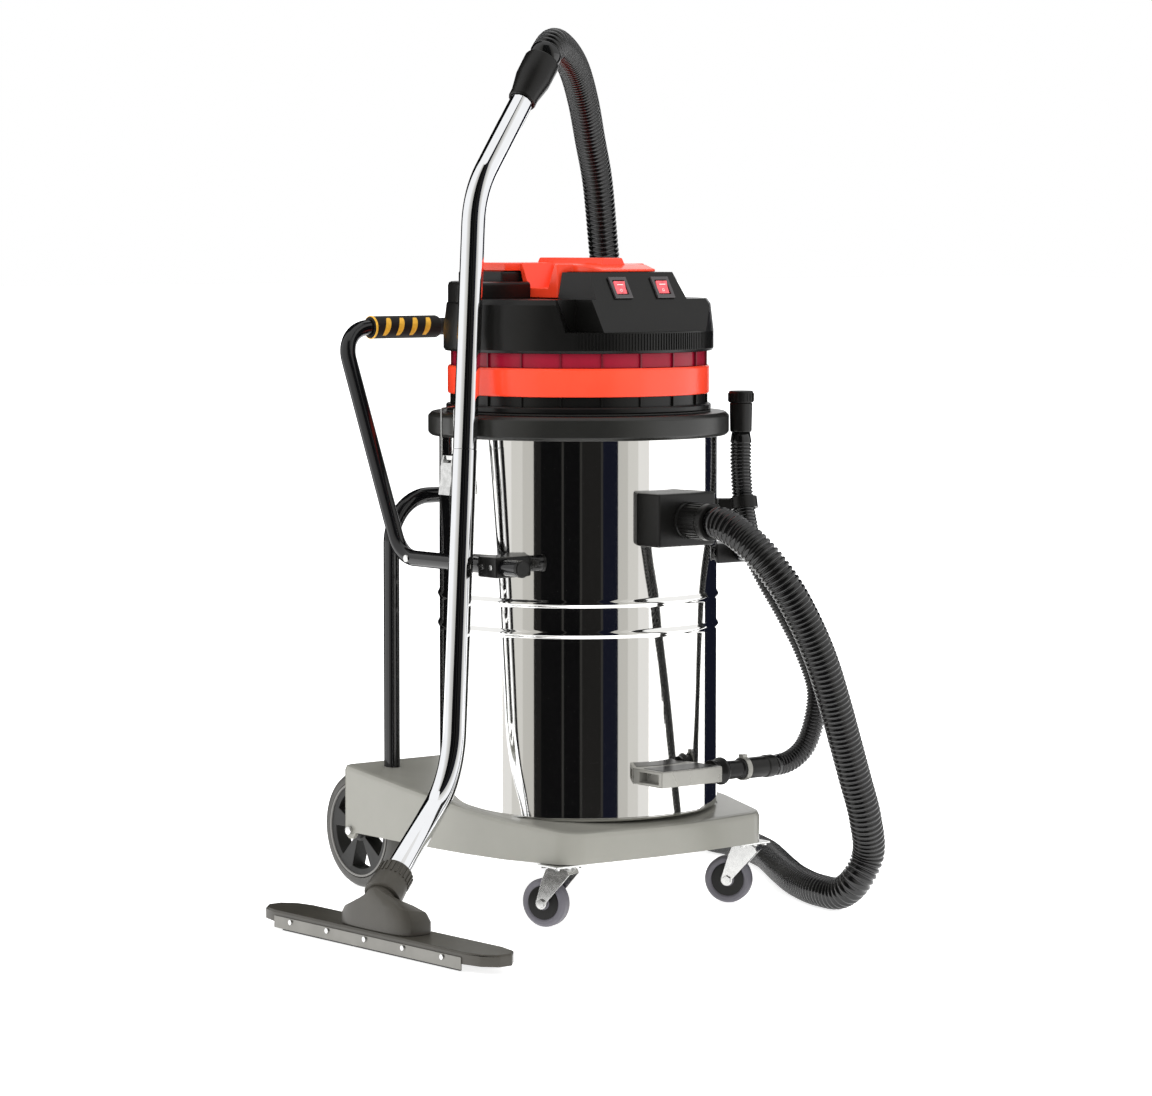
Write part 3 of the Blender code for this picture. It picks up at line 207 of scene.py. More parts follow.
DRAIN_ROUTE = (
    (0.1886, -0.25, 0.225), (0.198, -0.25, 0.225), (0.222, -0.254, 0.23), (0.2482, -0.258, 0.2486),
    (0.2695, -0.2568, 0.286), (0.2809, -0.252, 0.339), (0.2644, -0.241, 0.4006),
    (0.236, -0.226, 0.4627), (0.2119, -0.208, 0.515), (0.2, -0.187, 0.561),
    (0.2045, -0.17, 0.6), (0.208, -0.158, 0.631), (0.2092, -0.15, 0.69),
    (0.2092, -0.15, 0.73), (0.2092, -0.15, 0.7447),
)


# ---- helpers ---------------------------------------------------------------------------
def add_object(name, bm, mat, mesh_name=None):
    """Links an object made from a bmesh in world coordinates, which is freed."""
    mesh = bpy.data.meshes.new(mesh_name or name)
    bm.to_mesh(mesh)
    bm.free()
    mesh.materials.append(mat)
    obj = bpy.data.objects.new(name, mesh)
    bpy.context.scene.collection.objects.link(obj)
    return obj


def to_world(bm):
    bmesh.ops.translate(bm, verts=bm.verts, vec=AXIS)
    bmesh.ops.recalc_face_normals(bm, faces=bm.faces)
    return bm


def solid(name, bm, mat, smooth=35.0, bevel=0.0008, node=None, body=None):
    """A piece from a bmesh in the machine's frame. It stands for the CAD node of its name."""
    obj = add_object(f"{name}_shape", to_world(bm), mat, name)
    PIECES.append((obj, name if node is None else node, body, bevel, smooth))
    return obj


def boolean(obj, operation, bm):
    """An exact boolean with a cutter that is removed again once the piece is finished."""
    cutter = add_object("cutter", to_world(bm), obj.data.materials[0])
    CUTTERS.append(cutter)
    mod = obj.modifiers.new(operation.lower(), "BOOLEAN")
    mod.operation = operation
    mod.object = cutter
    mod.material_mode = "TRANSFER"


def cut(obj, *shapes):
    for bm in shapes:
        boolean(obj, "DIFFERENCE", bm)
    return obj


def join(obj, *shapes):
    for bm in shapes:
        boolean(obj, "UNION", bm)
    return obj


def finish_pieces():
    """Applies the booleans, rounds the edges and hands each piece to its CAD body."""
    bodies = frame["record"]["behaviour"]["bodies"]
    owner = {n: b for b, nodes in bodies.items() for n in nodes}
    for obj, node, _, bevel, _ in PIECES:
        if bevel:
            mod = obj.modifiers.new("edges", "BEVEL")
            mod.width = EDGES.get(node, bevel)
            mod.segments = 2
            mod.limit_method = "ANGLE"
            mod.angle_limit = math.radians(EDGE_ANGLE)
            mod.miter_outer = "MITER_ARC"
    bpy.context.view_layer.update()
    graph = bpy.context.evaluated_depsgraph_get()
    done = [bpy.data.meshes.new_from_object(piece[0].evaluated_get(graph)) for piece in PIECES]
    for (obj, node, body, _, smooth), mesh in zip(PIECES, done):
        obj.modifiers.clear()
        obj.data = mesh
        mesh.shade_smooth()
        mesh.set_sharp_from_angle(angle=math.radians(smooth))
        even = obj.modifiers.new("even shading", "WEIGHTED_NORMAL")
        even.keep_sharp = True
        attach(obj, body or owner[node])
        if node in frame["nodes"]:
            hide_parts(node)
    for cutter in CUTTERS:
        bpy.data.objects.remove(cutter)


def along(start, direction, roll=Vector((0.0, 0.0, 1.0))):
    """Frame whose +Z runs along direction from start, and whose +X stays close to roll."""
    z = Vector(direction).normalized()
    x = Vector(roll) - z * Vector(roll).dot(z)
    if x.length < 1e-4:
        x = Vector((1.0, 0.0, 0.0)) - z * z.x
    x.normalize()
    y = z.cross(x)
    frame = Matrix((x, y, z)).transposed().to_4x4()
    frame.translation = Vector(start)
    return frame


def skin(bm, first, second):
    """Quads between two closed rings of vertices."""
    for k in range(len(first)):
        n = (k + 1) % len(first)
        bm.faces.new([first[k], first[n], second[n], second[k]])


def turned(profile, segments=32, frame=Matrix()):
    """Solid of revolution about the frame's Z, from a closed profile of (radius, height)."""
    bm = bmesh.new()
    segments *= FINE
    rings = []
    for radius, height in profile:
        if radius < 1e-7:
            rings.append([bm.verts.new(frame @ Vector((0.0, 0.0, height)))] * segments)
            continue
        ring = []
        for k in range(segments):
            a = math.tau * k / segments
            ring.append(bm.verts.new(frame @ Vector((radius * math.cos(a), radius * math.sin(a), height))))
        rings.append(ring)
    for i, ring in enumerate(rings):
        after = rings[(i + 1) % len(rings)]
        if ring[0] is ring[1] and after[0] is after[1]:
            continue
        for k in range(segments):
            n = (k + 1) % segments
            corners = [ring[k], ring[n], after[n], after[k]]
            bm.faces.new(list(dict.fromkeys(corners)))
    return bm


def mirrored(half):
    """A profile of (radius, height) and its mirror image, as one closed profile."""
    return half + [(r, -h) for r, h in reversed(half)]


def rod(radius, start, end, segments=16):
    """Plain round rod between two points."""
    start, end = Vector(start), Vector(end)
    length = (end - start).length
    return turned([(0, 0), (radius, 0), (radius, length), (0, length)], segments, along(start, end - start))


def pipe(outer, inner, start, end, segments=24):
    """Plain tube between two points."""
    start, end = Vector(start), Vector(end)
    length = (end - start).length
    profile = [(inner, 0), (outer, 0), (outer, length), (inner, length)]
    return turned(profile, segments, along(start, end - start))


def prism(outline, low, high, axis="Z"):
    """Extrudes a closed outline; low and high are heights or functions of the outline point."""
    bm = bmesh.new()
    spin = {
        "Z": lambda p, h: Vector((p[0], p[1], h)),
        "Y": lambda p, h: Vector((p[0], h, p[1])),
        "X": lambda p, h: Vector((h, p[0], p[1])),
    }[axis]
    ends = []
    for level in (low, high):
        at = level if callable(level) else (lambda p, h=level: h)
        ends.append([bm.verts.new(spin(p, at(p))) for p in outline])
    bm.faces.new(ends[0])
    bm.faces.new(list(reversed(ends[1])))
    skin(bm, *ends)
    return bm


def block(low, high, bevel=0.0, frame=Matrix()):
    """Box between two corners, with its edges rounded by a two-step bevel."""
    low, high = Vector(low), Vector(high)
    outline = [(low.x, low.y), (high.x, low.y), (high.x, high.y), (low.x, high.y)]
    bm = prism(outline, low.z, high.z)
    bmesh.ops.recalc_face_normals(bm, faces=bm.faces)
    if bevel:
        bmesh.ops.bevel(bm, geom=bm.edges[:], offset=bevel, segments=2, profile=0.5, affect="EDGES")
    bmesh.ops.transform(bm, matrix=frame, verts=bm.verts)
    return bm


def arc(centre, radius, start, end, steps):
    """Points on a circle's arc, angles in degrees, both ends included."""
    out = []
    steps *= 2
    for k in range(steps + 1):
        a = math.radians(start + (end - start) * k / steps)
        out.append((centre[0] + radius * math.cos(a), centre[1] + radius * math.sin(a)))
    return out


def filleted(points, radius, steps=6):
    """The path through points with its corners rounded."""
    steps *= 3
    points = [Vector(p) for p in points]
    path = [points[0]]
    for before, corner, after in zip(points, points[1:], points[2:]):
        a = (before - corner).normalized()
        b = (after - corner).normalized()
        half = a.angle(b) / 2.0
        reach = radius / math.tan(half)
        middle = corner + (a + b).normalized() * (radius / math.sin(half))
        first = corner + a * reach - middle
        last = corner + b * reach - middle
        for k in range(steps + 1):
            path.append(middle + first.slerp(last, k / steps, first).normalized() * radius)
    path.append(points[-1])
    return path


def swept(path, outer, inner=0.0, sides=24):
    """Tube or rod along a path, with frames carried along without twist."""
    bm = bmesh.new()
    frame = None
    loops = {"outer": [], "inner": []}
    for i, point in enumerate(path):
        ahead = path[min(i + 1, len(path) - 1)] - path[max(i - 1, 0)]
        ahead.normalize()
        if frame is None:
            frame = along(point, ahead).to_3x3()
        else:
            turn = (frame @ Vector((0, 0, 1))).rotation_difference(ahead).to_matrix()
            frame = turn @ frame
        for key, radius in (("outer", outer), ("inner", inner)):
            if radius <= 0.0:
                continue
            ring = []
            for k in range(sides):
                a = math.tau * k / sides
                spoke = frame @ Vector((math.cos(a), math.sin(a), 0.0))
                ring.append(bm.verts.new(point + spoke * radius))
            loops[key].append(ring)
    for rings in loops.values():
        for a, b in zip(rings, rings[1:]):
            skin(bm, a, b)
    for end in (0, -1):
        if inner > 0.0:
            skin(bm, loops["outer"][end], loops["inner"][end])
        else:
            bm.faces.new(loops["outer"][end])
    return bm


def smooth_route(points, count):
    """The first and last points, and between them evenly spaced ones on a smooth curve."""
    ends = [Vector(p) for p in points]
    fine = []
    for p0, p1, p2, p3 in zip(ends, ends[1:], ends[2:], ends[3:]):
        t1 = (p1 - p0).length ** 0.5
        t2 = t1 + (p2 - p1).length ** 0.5
        t3 = t2 + (p3 - p2).length ** 0.5
        for k in range(20):
            t = t1 + (t2 - t1) * k / 20
            a1 = p0 * ((t1 - t) / t1) + p1 * (t / t1)
            a2 = p1 * ((t2 - t) / (t2 - t1)) + p2 * ((t - t1) / (t2 - t1))
            a3 = p2 * ((t3 - t) / (t3 - t2)) + p3 * ((t - t2) / (t3 - t2))
            b1 = a1 * ((t2 - t) / t2) + a2 * (t / t2)
            b2 = a2 * ((t3 - t) / (t3 - t1)) + a3 * ((t - t1) / (t3 - t1))
            fine.append(b1 * ((t2 - t) / (t2 - t1)) + b2 * ((t - t1) / (t2 - t1)))
    fine.append(ends[-2])
    lengths = [0.0]
    for a, b in zip(fine, fine[1:]):
        lengths.append(lengths[-1] + (b - a).length)
    out = [ends[0]]
    i = 0
    for k in range(count):
        want = lengths[-1] * k / (count - 1)
        while i < len(fine) - 2 and lengths[i + 1] < want:
            i += 1
        share = (want - lengths[i]) / (lengths[i + 1] - lengths[i])
        out.append(fine[i].lerp(fine[i + 1], share))
    return out + [ends[-1]]


def cells(columns, rows, filled, at):
    """Solid made of the filled cells of a wrapped grid; at(column, row, side) gives a corner."""
    bm = bmesh.new()
    corner = {}

    def vert(i, j, side):
        key = (i % columns, j, side)
        if key not in corner:
            corner[key] = bm.verts.new(at(*key))
        return corner[key]

    for i in range(columns):
        for j in range(rows):
            if not filled(i, j):
                continue
            ring = [(i, j), (i + 1, j), (i + 1, j + 1), (i, j + 1)]
            bm.faces.new([vert(a, b, 0) for a, b in ring])
            bm.faces.new([vert(a, b, 1) for a, b in reversed(ring)])
            beside = [(i, j - 1), (i + 1, j), (i, j + 1), (i - 1, j)]
            for k, (ci, cj) in enumerate(beside):
                if 0 <= cj < rows and filled(ci % columns, cj):
                    continue
                a, b = ring[k], ring[(k + 1) % 4]
                bm.faces.new([vert(*a, 0), vert(*b, 0), vert(*b, 1), vert(*a, 1)])
    return bm


def side_sign(side):
    return -1.0 if side == "left" else 1.0


# ---- trolley ---------------------------------------------------------------------------
def blend(y, pair):
    share = (y - PLATFORM_FRONT_Y) / (PLATFORM_REAR_Y - PLATFORM_FRONT_Y)
    return pair[0] + (pair[1] - pair[0]) * share


def platform_outline():
    """Right half from the rear corner to the front, then mirrored."""
    half = []
    half += arc((0.2055, PLATFORM_REAR_Y - 0.012), 0.012, 90.0, 0.0, 3)
    half += [(0.23, 0.16), (0.2345, 0.06), (0.235, -0.01), (0.229, -0.1)]
    half += arc((0.162, PLATFORM_FRONT_Y + 0.045), 0.045, -8.0, -82.0, 5)
    half += [(0.1, -0.2335), (0.035, -0.238)]
    return half + [(-x, y) for x, y in reversed(half)]


def build_platform(grey):
    bm = prism(
        platform_outline(),
        lambda p: blend(p[1], PLATFORM_SKIRT_Z),
        lambda p: blend(p[1], PLATFORM_TOP_Z),
    )
    bmesh.ops.recalc_face_normals(bm, faces=bm.faces)
    top = max(bm.faces, key=lambda f: f.normal.z)
    bmesh.ops.bevel(bm, geom=top.edges[:], offset=0.009, segments=2, profile=0.5, affect="EDGES")
    deck = solid("platform", bm, grey)
    under = [
        (-0.201, -0.125), (-0.12, -0.205), (0.12, -0.205), (0.201, -0.125),
        (0.2285, 0.0), (0.224, 0.19), (-0.224, 0.19), (-0.2285, 0.0),
    ]
    cut(deck, prism(under, 0.05, 0.1425))
    cut(deck, block((-0.136, 0.18, 0.05), (0.136, PLATFORM_REAR_Y - 0.006, 0.18)))
    well = [(0.215, 0.05), (0.215, 0.15), (0.245, 0.18), (0.285, 0.1925), (0.4, 0.1925), (0.4, 0.05)]
    x, y = FRAME_AT
    for sign in (-1, 1):
        inner, outer = sorted((sign * 0.169, sign * 0.2125))
        cut(deck, prism(well, inner, outer, "X"))
        for start, end in ((0.145, 0.169), (0.2125, 0.218)):
            near, far = (sign * start, REAR_AXLE_Y, REAR_AXLE_Z), (sign * end, REAR_AXLE_Y, REAR_AXLE_Z)
            join(deck, rod(0.014, near, far, 24))
        cut(deck, rod(0.0135, (sign * x, y, FRAME_FOOT_Z - GAP), (sign * x, y, 0.26)))
    cut(deck, rod(TANK_R + GAP, (0, 0, TANK_FLOOR_Z - GAP), (0, 0, 0.3), 48))
    cut(deck, rod(AXLE_R + GAP, (-0.3, REAR_AXLE_Y, REAR_AXLE_Z), (0.3, REAR_AXLE_Y, REAR_AXLE_Z), 16))
    return deck


def build_rear_axle(steel):
    end = 0.2215
    profile = mirrored([(0, -end - 0.004), (0.007, -end - 0.003), (0.0075, -end), (AXLE_R, -end)])
    return solid("rear_axle", turned(profile, 16, along((0, REAR_AXLE_Y, REAR_AXLE_Z), (1, 0, 0))), steel)


def castor_frame(side):
    """Frame of a castor: origin on the floor under its swivel, +Y towards its wheel."""
    turn = Matrix.Rotation(math.radians(CASTOR_TURN[side]), 4, "Z")
    return Matrix.Translation((side_sign(side) * CASTOR_X, CASTOR_Y, 0.0)) @ turn


def build_castor(side, zinc, rubber):
    frame = castor_frame(side)
    pivot = frame.translation
    low, high = CASTOR_TOP_Z - 0.0035, CASTOR_TOP_Z
    plate = block((-0.03, -0.024, low), (0.03, 0.024, high), 0.0008, Matrix.Translation(pivot))
    solid(f"castor_plate_{side}", plate, zinc)
    top = CASTOR_TOP_Z - 0.0035 - GAP
    half = CASTOR_WHEEL_W / 2 + 0.0045
    leg = [(-0.021, 0.084), (-0.018, top - 0.004), (-0.012, top), (0.012, top), (0.02, top - 0.004)]
    leg += [(0.026, 0.076)] + arc((CASTOR_TRAIL, CASTOR_WHEEL_R), 0.0095, 10.0, -190.0, 6)
    bm = prism(leg, -half, half, "X")
    bmesh.ops.transform(bm, matrix=frame, verts=bm.verts)
    fork = solid(f"castor_fork_{side}", bm, zinc)
    inner = half - 0.0025
    cut(fork, block((-inner, -0.05, 0.0), (inner, 0.09, 0.0835), 0.0, frame))
    axle = frame @ Vector((0, CASTOR_TRAIL, CASTOR_WHEEL_R))
    across = frame.to_3x3() @ Vector((1, 0, 0))
    join(fork, rod(0.004, axle - across * (half + 0.003), axle + across * (half + 0.003), 12))
    w = CASTOR_WHEEL_W / 2
    r = CASTOR_WHEEL_R
    profile = mirrored([
        (0.0045, -w), (0.01, -w), (0.012, -w + 0.003), (0.026, -w + 0.003), (0.0285, -w + 0.0005),
        (r - 0.004, -w + 0.0005), (r, -w + 0.005),
    ])
    solid(f"castor_wheel_{side}", turned(profile, 24, along(axle, across)), rubber)


def build_rear_frame(black):
    x, y = FRAME_AT
    corners = [(-x, y, FRAME_FOOT_Z), (-x, y, FRAME_TOP_Z), (x, y, FRAME_TOP_Z), (x, y, FRAME_FOOT_Z)]
    path = filleted(corners, 0.075)
    return solid("rear_frame", swept(path, FRAME_TUBE_R), black)


def handle_path():
    y, z = HANDLE_TOP
    left = [
        (-HANDLE_X, HANDLE_FRONT_Y, HANDLE_RUN_Z), (-HANDLE_X, HANDLE_ELBOW_Y, HANDLE_RUN_Z),
        (-HANDLE_X, y, z)
    ]
    return left + [(-px, py, pz) for px, py, pz in reversed(left)]


def build_push_handle(black, foam):
    solid("push_handle", swept(filleted(handle_path(), 0.055, 5), TUBE_R), black)
    y, z = HANDLE_TOP
    end = 0.181
    inner = TUBE_R + GAP
    profile = mirrored(
        [(inner, -end), (0.0172, -end), (0.0182, 0.004 - end), (0.0182, -0.05), (0.0138, -0.042)]
    )
    solid("handle_grip", turned(profile, 24, along((0, y, z), (1, 0, 0))), foam)


def build_clamp(side, black):
    sign = side_sign(side)
    low, high = sorted((sign * 0.256, sign * 0.19))
    body = block((low, -0.116, HANDLE_RUN_Z - 0.016), (high, -0.07, HANDLE_RUN_Z + 0.016), 0.003)
    clamp = solid(f"handle_clamp_{side}", body, black)
    cut(clamp, rod(TANK_R + 0.0008, (0, 0, 0.5), (0, 0, 0.6), 96))
    cut(
        clamp,
        rod(TUBE_R + GAP, (sign * HANDLE_X, -0.2, HANDLE_RUN_Z), (sign * HANDLE_X, 0.0, HANDLE_RUN_Z), 24)
    )


# ---- tank ------------------------------------------------------------------------------
def bead(z, radius, size):
    out = []
    for k in range(9):
        share = k / 8
        out.append((radius + size * math.sin(math.pi * share) ** 2, z - 0.0075 + 0.015 * share))
    return out


def build_tank(steel):
    outer = [(0, TANK_FLOOR_Z), (TANK_R - 0.006, TANK_FLOOR_Z), (TANK_R, TANK_FLOOR_Z + 0.006)]
    inside = TANK_R - TANK_WALL
    for z in TANK_BEADS_Z:
        outer += bead(z, TANK_R, BEAD_HEIGHT)
    outer += [(TANK_R, TANK_RIM_Z), (inside, TANK_RIM_Z)]
    floor = [
        (inside, TANK_FLOOR_Z + 0.004), (inside - 0.002, TANK_FLOOR_Z + TANK_WALL),
        (0, TANK_FLOOR_Z + TANK_WALL)
    ]
    tank = solid("tank", turned(outer + floor, 48), steel)
    cut(tank, rod(0.0235, (0, -0.3, INLET_Z), (0, -0.15, INLET_Z)))
    cut(tank, rod(0.009, (-0.012, -0.3, DRAIN_Z), (-0.012, -0.15, DRAIN_Z)))
    return tank


def build_ring(black):
    low, high = RING_Z
    profile = [
        (TANK_R + GAP, low + 0.004), (TANK_R + 0.003, low), (RING_R - 0.005, low), (RING_R, low + 0.005),
        (RING_R, high - 0.006),
        (RING_R - 0.006, high), (RING_BORE_R, high), (RING_BORE_R, TANK_RIM_Z + GAP),
        (TANK_R + GAP, TANK_RIM_Z + GAP),
    ]
    return solid("bumper_ring", turned(profile, 48), black)


def build_inlet(black):
    bm = block((-0.057, INLET_FRONT_Y, INLET_Z - 0.04), (0.057, -0.195, INLET_Z + 0.042), 0.004)
    box = solid("inlet_box", bm, black)
    cut(box, rod(TANK_R + 0.0006, (0, 0, 0.5), (0, 0, 0.8), 96))
    cut(box, rod(0.0225, (0, -0.3, INLET_Z), (0, -0.15, INLET_Z), 24))
    length = INLET_FRONT_Y - CUFF_FRONT_Y - GAP
    profile = [
        (0.0205, 0), (0.0285, 0), (0.0285, 0.004), (0.027, 0.006), (0.027, length - 0.014),
        (0.0285, length - 0.012), (0.0285, length - 0.001), (0.0275, length), (0.0205, length),
    ]
    solid("inlet_cuff", turned(profile, 32, along((0, INLET_FRONT_Y - GAP, INLET_Z), (0, -1, 0))), black)
    path = filleted([(0, -0.2165, INLET_Z), (0, -0.17, INLET_Z), (0, -0.15, INLET_Z - 0.055)], 0.03, 4)
    return solid("inlet_deflector", swept(path, 0.0225, 0.02, 16), black)


def build_drain(steel, black):
    bm = block((-0.063, -0.28, DRAIN_Z - 0.0125), (0.0595, -0.205, DRAIN_Z + 0.0125), 0.002)
    box = solid("drain_box", bm, steel)
    cut(box, rod(TANK_R + 0.0006, (0, 0, 0.15), (0, 0, 0.3), 96))
    cut(box, block((-0.07, -0.272, DRAIN_Z - 0.008), (-0.048, -0.226, DRAIN_Z + 0.008)))
    cut(box, block((-0.022, -0.262, DRAIN_Z - 0.0085), (0.07, -0.24, DRAIN_Z + 0.0085)))
    cut(box, block((-0.021, -0.25, DRAIN_Z - 0.008), (-0.003, -0.2, DRAIN_Z + 0.008)))
    profile = [
        (0.01, 0.06), (0.0185, 0.06), (0.0185, 0.065), (0.0165, 0.071), (0.0215, 0.079), (0.0215, 0.083),
        (0.015, 0.09), (0.014, 0.118), (0.0165, 0.12), (0.0165, 0.17), (0.0178, 0.172), (0.0178, 0.187),
        (0.016, 0.1882), (0.01, 0.1882),
    ]
    solid("drain_pipe", turned(profile, 20, along((0, DRAIN_Y, DRAIN_Z), (1, 0, 0))), black)
    band = pipe(0.0182, 0.0168, (0.124, DRAIN_Y, DRAIN_Z), (0.133, DRAIN_Y, DRAIN_Z))
    clamp = solid("hose_clamp", band, steel)
    screw = block(
        (0.1235, DRAIN_Y - 0.005, DRAIN_Z + 0.0174), (0.1335, DRAIN_Y + 0.006, DRAIN_Z + 0.0225), 0.0008
    )
    join(clamp, screw)


def build_drain_top(black):
    at = DRAIN_TOP
    cuff = [
        (0.0125, 0.0), (0.0165, 0.0), (0.0172, 0.003), (0.018, 0.045), (0.0165, 0.046), (0.0165, 0.056),
        (0.0125, 0.056)
    ]
    solid("drain_cuff", turned(cuff, 24, Matrix.Translation(at)), black)
    cap = [
        (0.0, 0.06), (0.0168, 0.06), (0.0168, 0.0465), (0.0192, 0.0465), (0.0198, 0.048), (0.0198, 0.062),
        (0.018, 0.065),
        (0.0, 0.065),
    ]
    solid("drain_cap", turned(cap, 24, Matrix.Translation(at)), black)


def build_drain_clip(black):
    low, high = DRAIN_CLIP_Z
    route = smooth_route(DRAIN_ROUTE, 200)
    middle = min(range(len(route)), key=lambda i: abs(route[i].z - (low + high) / 2))
    centre = route[middle]
    ahead = (route[middle + 3] - route[middle - 3]).normalized()
    outward = Vector((centre.x, centre.y, 0)).normalized()
    across = Vector((-outward.y, outward.x, 0))
    frame = Matrix((outward, across, Vector((0, 0, 1)))).transposed().to_4x4()
    reach = Vector((centre.x, centre.y, 0)).length
    arm = block((0.205, -0.012, low), (reach - 0.019, 0.012, high), 0.0015, frame)
    clip = solid("drain_clip", arm, black)
    half = (high - low) / 2
    join(clip, rod(0.0225, centre - ahead * half, centre + ahead * half, 24))
    cut(clip, rod(DRAIN_HOSE_R + 0.0015, centre - ahead * 0.03, centre + ahead * 0.03, 24))
    cut(clip, rod(TANK_R + 0.0006, (0, 0, 0.5), (0, 0, 0.7), 96))


# ---- head ------------------------------------------------------------------------------
def build_head_base(black):
    low, high = FLANGE_Z
    spigot = RING_BORE_R - 0.002
    profile = [
        (0, MOTOR_DECK_Z - 0.005), (spigot - 0.003, MOTOR_DECK_Z - 0.005), (spigot, MOTOR_DECK_Z - 0.002),
        (spigot, low), (FLANGE_R - 0.0015, low),
        (FLANGE_R, low + 0.002), (FLANGE_R, high - 0.002), (FLANGE_R - 0.002, high), (0.201, high),
        (0.201, BAND_Z[0] - GAP), (0.195, BAND_Z[0] - GAP), (0.195, MOTOR_DECK_Z), (0, MOTOR_DECK_Z),
    ]
    base = solid("head_base", turned(profile, 48), black)
    for sign in (-1, 1):
        cut(base, rod(0.03, (sign * MOTOR_X, 0, 0.7), (sign * MOTOR_X, 0, 0.8), 24))


def build_seal(rubber):
    low, high = RING_Z[1] + GAP, FLANGE_Z[0] - GAP
    solid("tank_seal", turned([(0.205, low), (0.2085, low), (0.2085, high), (0.205, high)], 48), rubber)


def build_bands(orange, red):
    low, high = BAND_Z
    profile = [
        (0.1945, low), (BAND_R - 0.001, low), (BAND_R, low + 0.003), (BAND_R, high - 0.003),
        (BAND_R - 0.002, high), (0.1945, high)
    ]
    solid("orange_band", turned(profile, 48), orange)
    low, high = high + GAP, FINS_TOP_Z
    solid("vent_band", turned([(0.19, low), (FINS_R, low), (FINS_R, high), (0.19, high)], 48), red)


def console_profile(z):
    return CONSOLE_Y - CONSOLE_SLOPE * (CONSOLE_Z - z)


def panel_frame(x, z, proud=0.0):
    """Frame on the slanted panel: X across, Y up the slope, Z out of the panel."""
    up = Vector((0, CONSOLE_SLOPE, 1)).normalized()
    right = Vector((1, 0, 0))
    out = right.cross(up)
    frame = Matrix((right, up, out)).transposed().to_4x4()
    frame.translation = Vector((x, console_profile(z), z)) + out * proud
    return frame


def build_cover(black):
    r, t = COVER_R, COVER_TOP_R
    profile = [
        (0, COVER_BOTTOM_Z + 0.01), (0.199, COVER_BOTTOM_Z + 0.01), (0.201, COVER_BOTTOM_Z),
        (r - 0.003, COVER_BOTTOM_Z),
        (r, COVER_BOTTOM_Z + 0.004), (r, COVER_RIM_Z), (t + 0.002, LEDGE_Z - 0.008), (t - 0.004, LEDGE_Z),
        (0, LEDGE_Z),
    ]
    cover = solid("head_cover", turned(profile, 64), black, smooth=40.0)
    rear = [(t * math.cos(a), t * math.sin(a)) for a in (math.radians(3 + 174 * k / 24) for k in range(25))]
    deck = prism(rear, LEDGE_Z - 0.01, DECK_Z)
    bmesh.ops.recalc_face_normals(deck, faces=deck.faces)
    edges = [e for e in deck.edges if all(v.co.z > DECK_Z - 1e-6 for v in e.verts)]
    bmesh.ops.bevel(deck, geom=edges, offset=0.006, segments=2, profile=0.5, affect="EDGES")
    join(cover, deck)
    join(cover, block((-0.125, 0.0375, 0.95), (0.125, 0.15, BLOCK_Z), 0.004))
    console = [(-0.0925, 0.95), (0.0925, 0.95), (0.083, CONSOLE_Z), (-0.083, CONSOLE_Z)]
    join(cover, prism(console, -0.175, -0.062, "Y"))
    wedge = [
        (console_profile(COVER_RIM_Z), COVER_RIM_Z), (console_profile(1.06), 1.06), (-0.3, 1.06),
        (-0.3, COVER_RIM_Z),
    ]
    cut(cover, prism(wedge, -0.104, 0.25, "X"))
    valley = [(-0.172, -0.174), (-0.112, -0.116), (-0.1, -0.116), (-0.1, -0.3), (-0.172, -0.3)]
    hollow = prism(valley, COVER_RIM_Z - 0.0004, 1.06)
    for corner in hollow.verts:
        if corner.co.x < -0.105 and corner.co.z > 1.0:
            corner.co.x -= 0.075
    cut(cover, hollow)
    cut(cover, block((-0.0884, -0.06, LEDGE_Z + 0.001), (0.0884, 0.0372, 1.06)))
    inside = [
        (0, 0.86), (0.196, 0.86), (0.196, 0.894), (0.188, 0.9025), (0.15, 0.903), (0.14, 0.95), (0, 0.95),
    ]
    cut(cover, turned(inside, 24))
    for x in SWITCH_X:
        w, h = SWITCH_SIZE[0] / 2 - 0.003, SWITCH_SIZE[1] / 2 - 0.003
        cut(cover, block((-w, -h, -0.04), (w, h, 0.01), 0.0, panel_frame(x, SWITCH_Z)))


def build_switch(side, clear, red):
    x = SWITCH_X[0] if side == "left" else SWITCH_X[1]
    frame = panel_frame(x, SWITCH_Z)
    w, h = SWITCH_SIZE[0] / 2, SWITCH_SIZE[1] / 2
    bezel = solid(f"switch_bezel_{side}", block((-w, -h, GAP), (w, h, 0.0035), 0.0008, frame), clear)
    neck = 0.0034
    join(bezel, block((-w + neck, -h + neck, -0.016), (w - neck, h - neck, 0.002), 0.0, frame))
    cut(bezel, block((-w + 0.0062, -h + 0.0062, -0.013), (w - 0.0062, h - 0.0062, 0.02), 0.0, frame))
    half = h - 0.0085
    rocker = [
        (-half, 0.0012), (0.0, 0.002), (half, 0.005), (half * 0.9, -0.0015), (0.0, -0.0085),
        (-half * 0.9, -0.0045)
    ]
    bm = prism(rocker, -w + 0.0068, w - 0.0068, "X")
    bmesh.ops.transform(bm, matrix=frame, verts=bm.verts)
    solid(f"switch_rocker_{side}", bm, red)


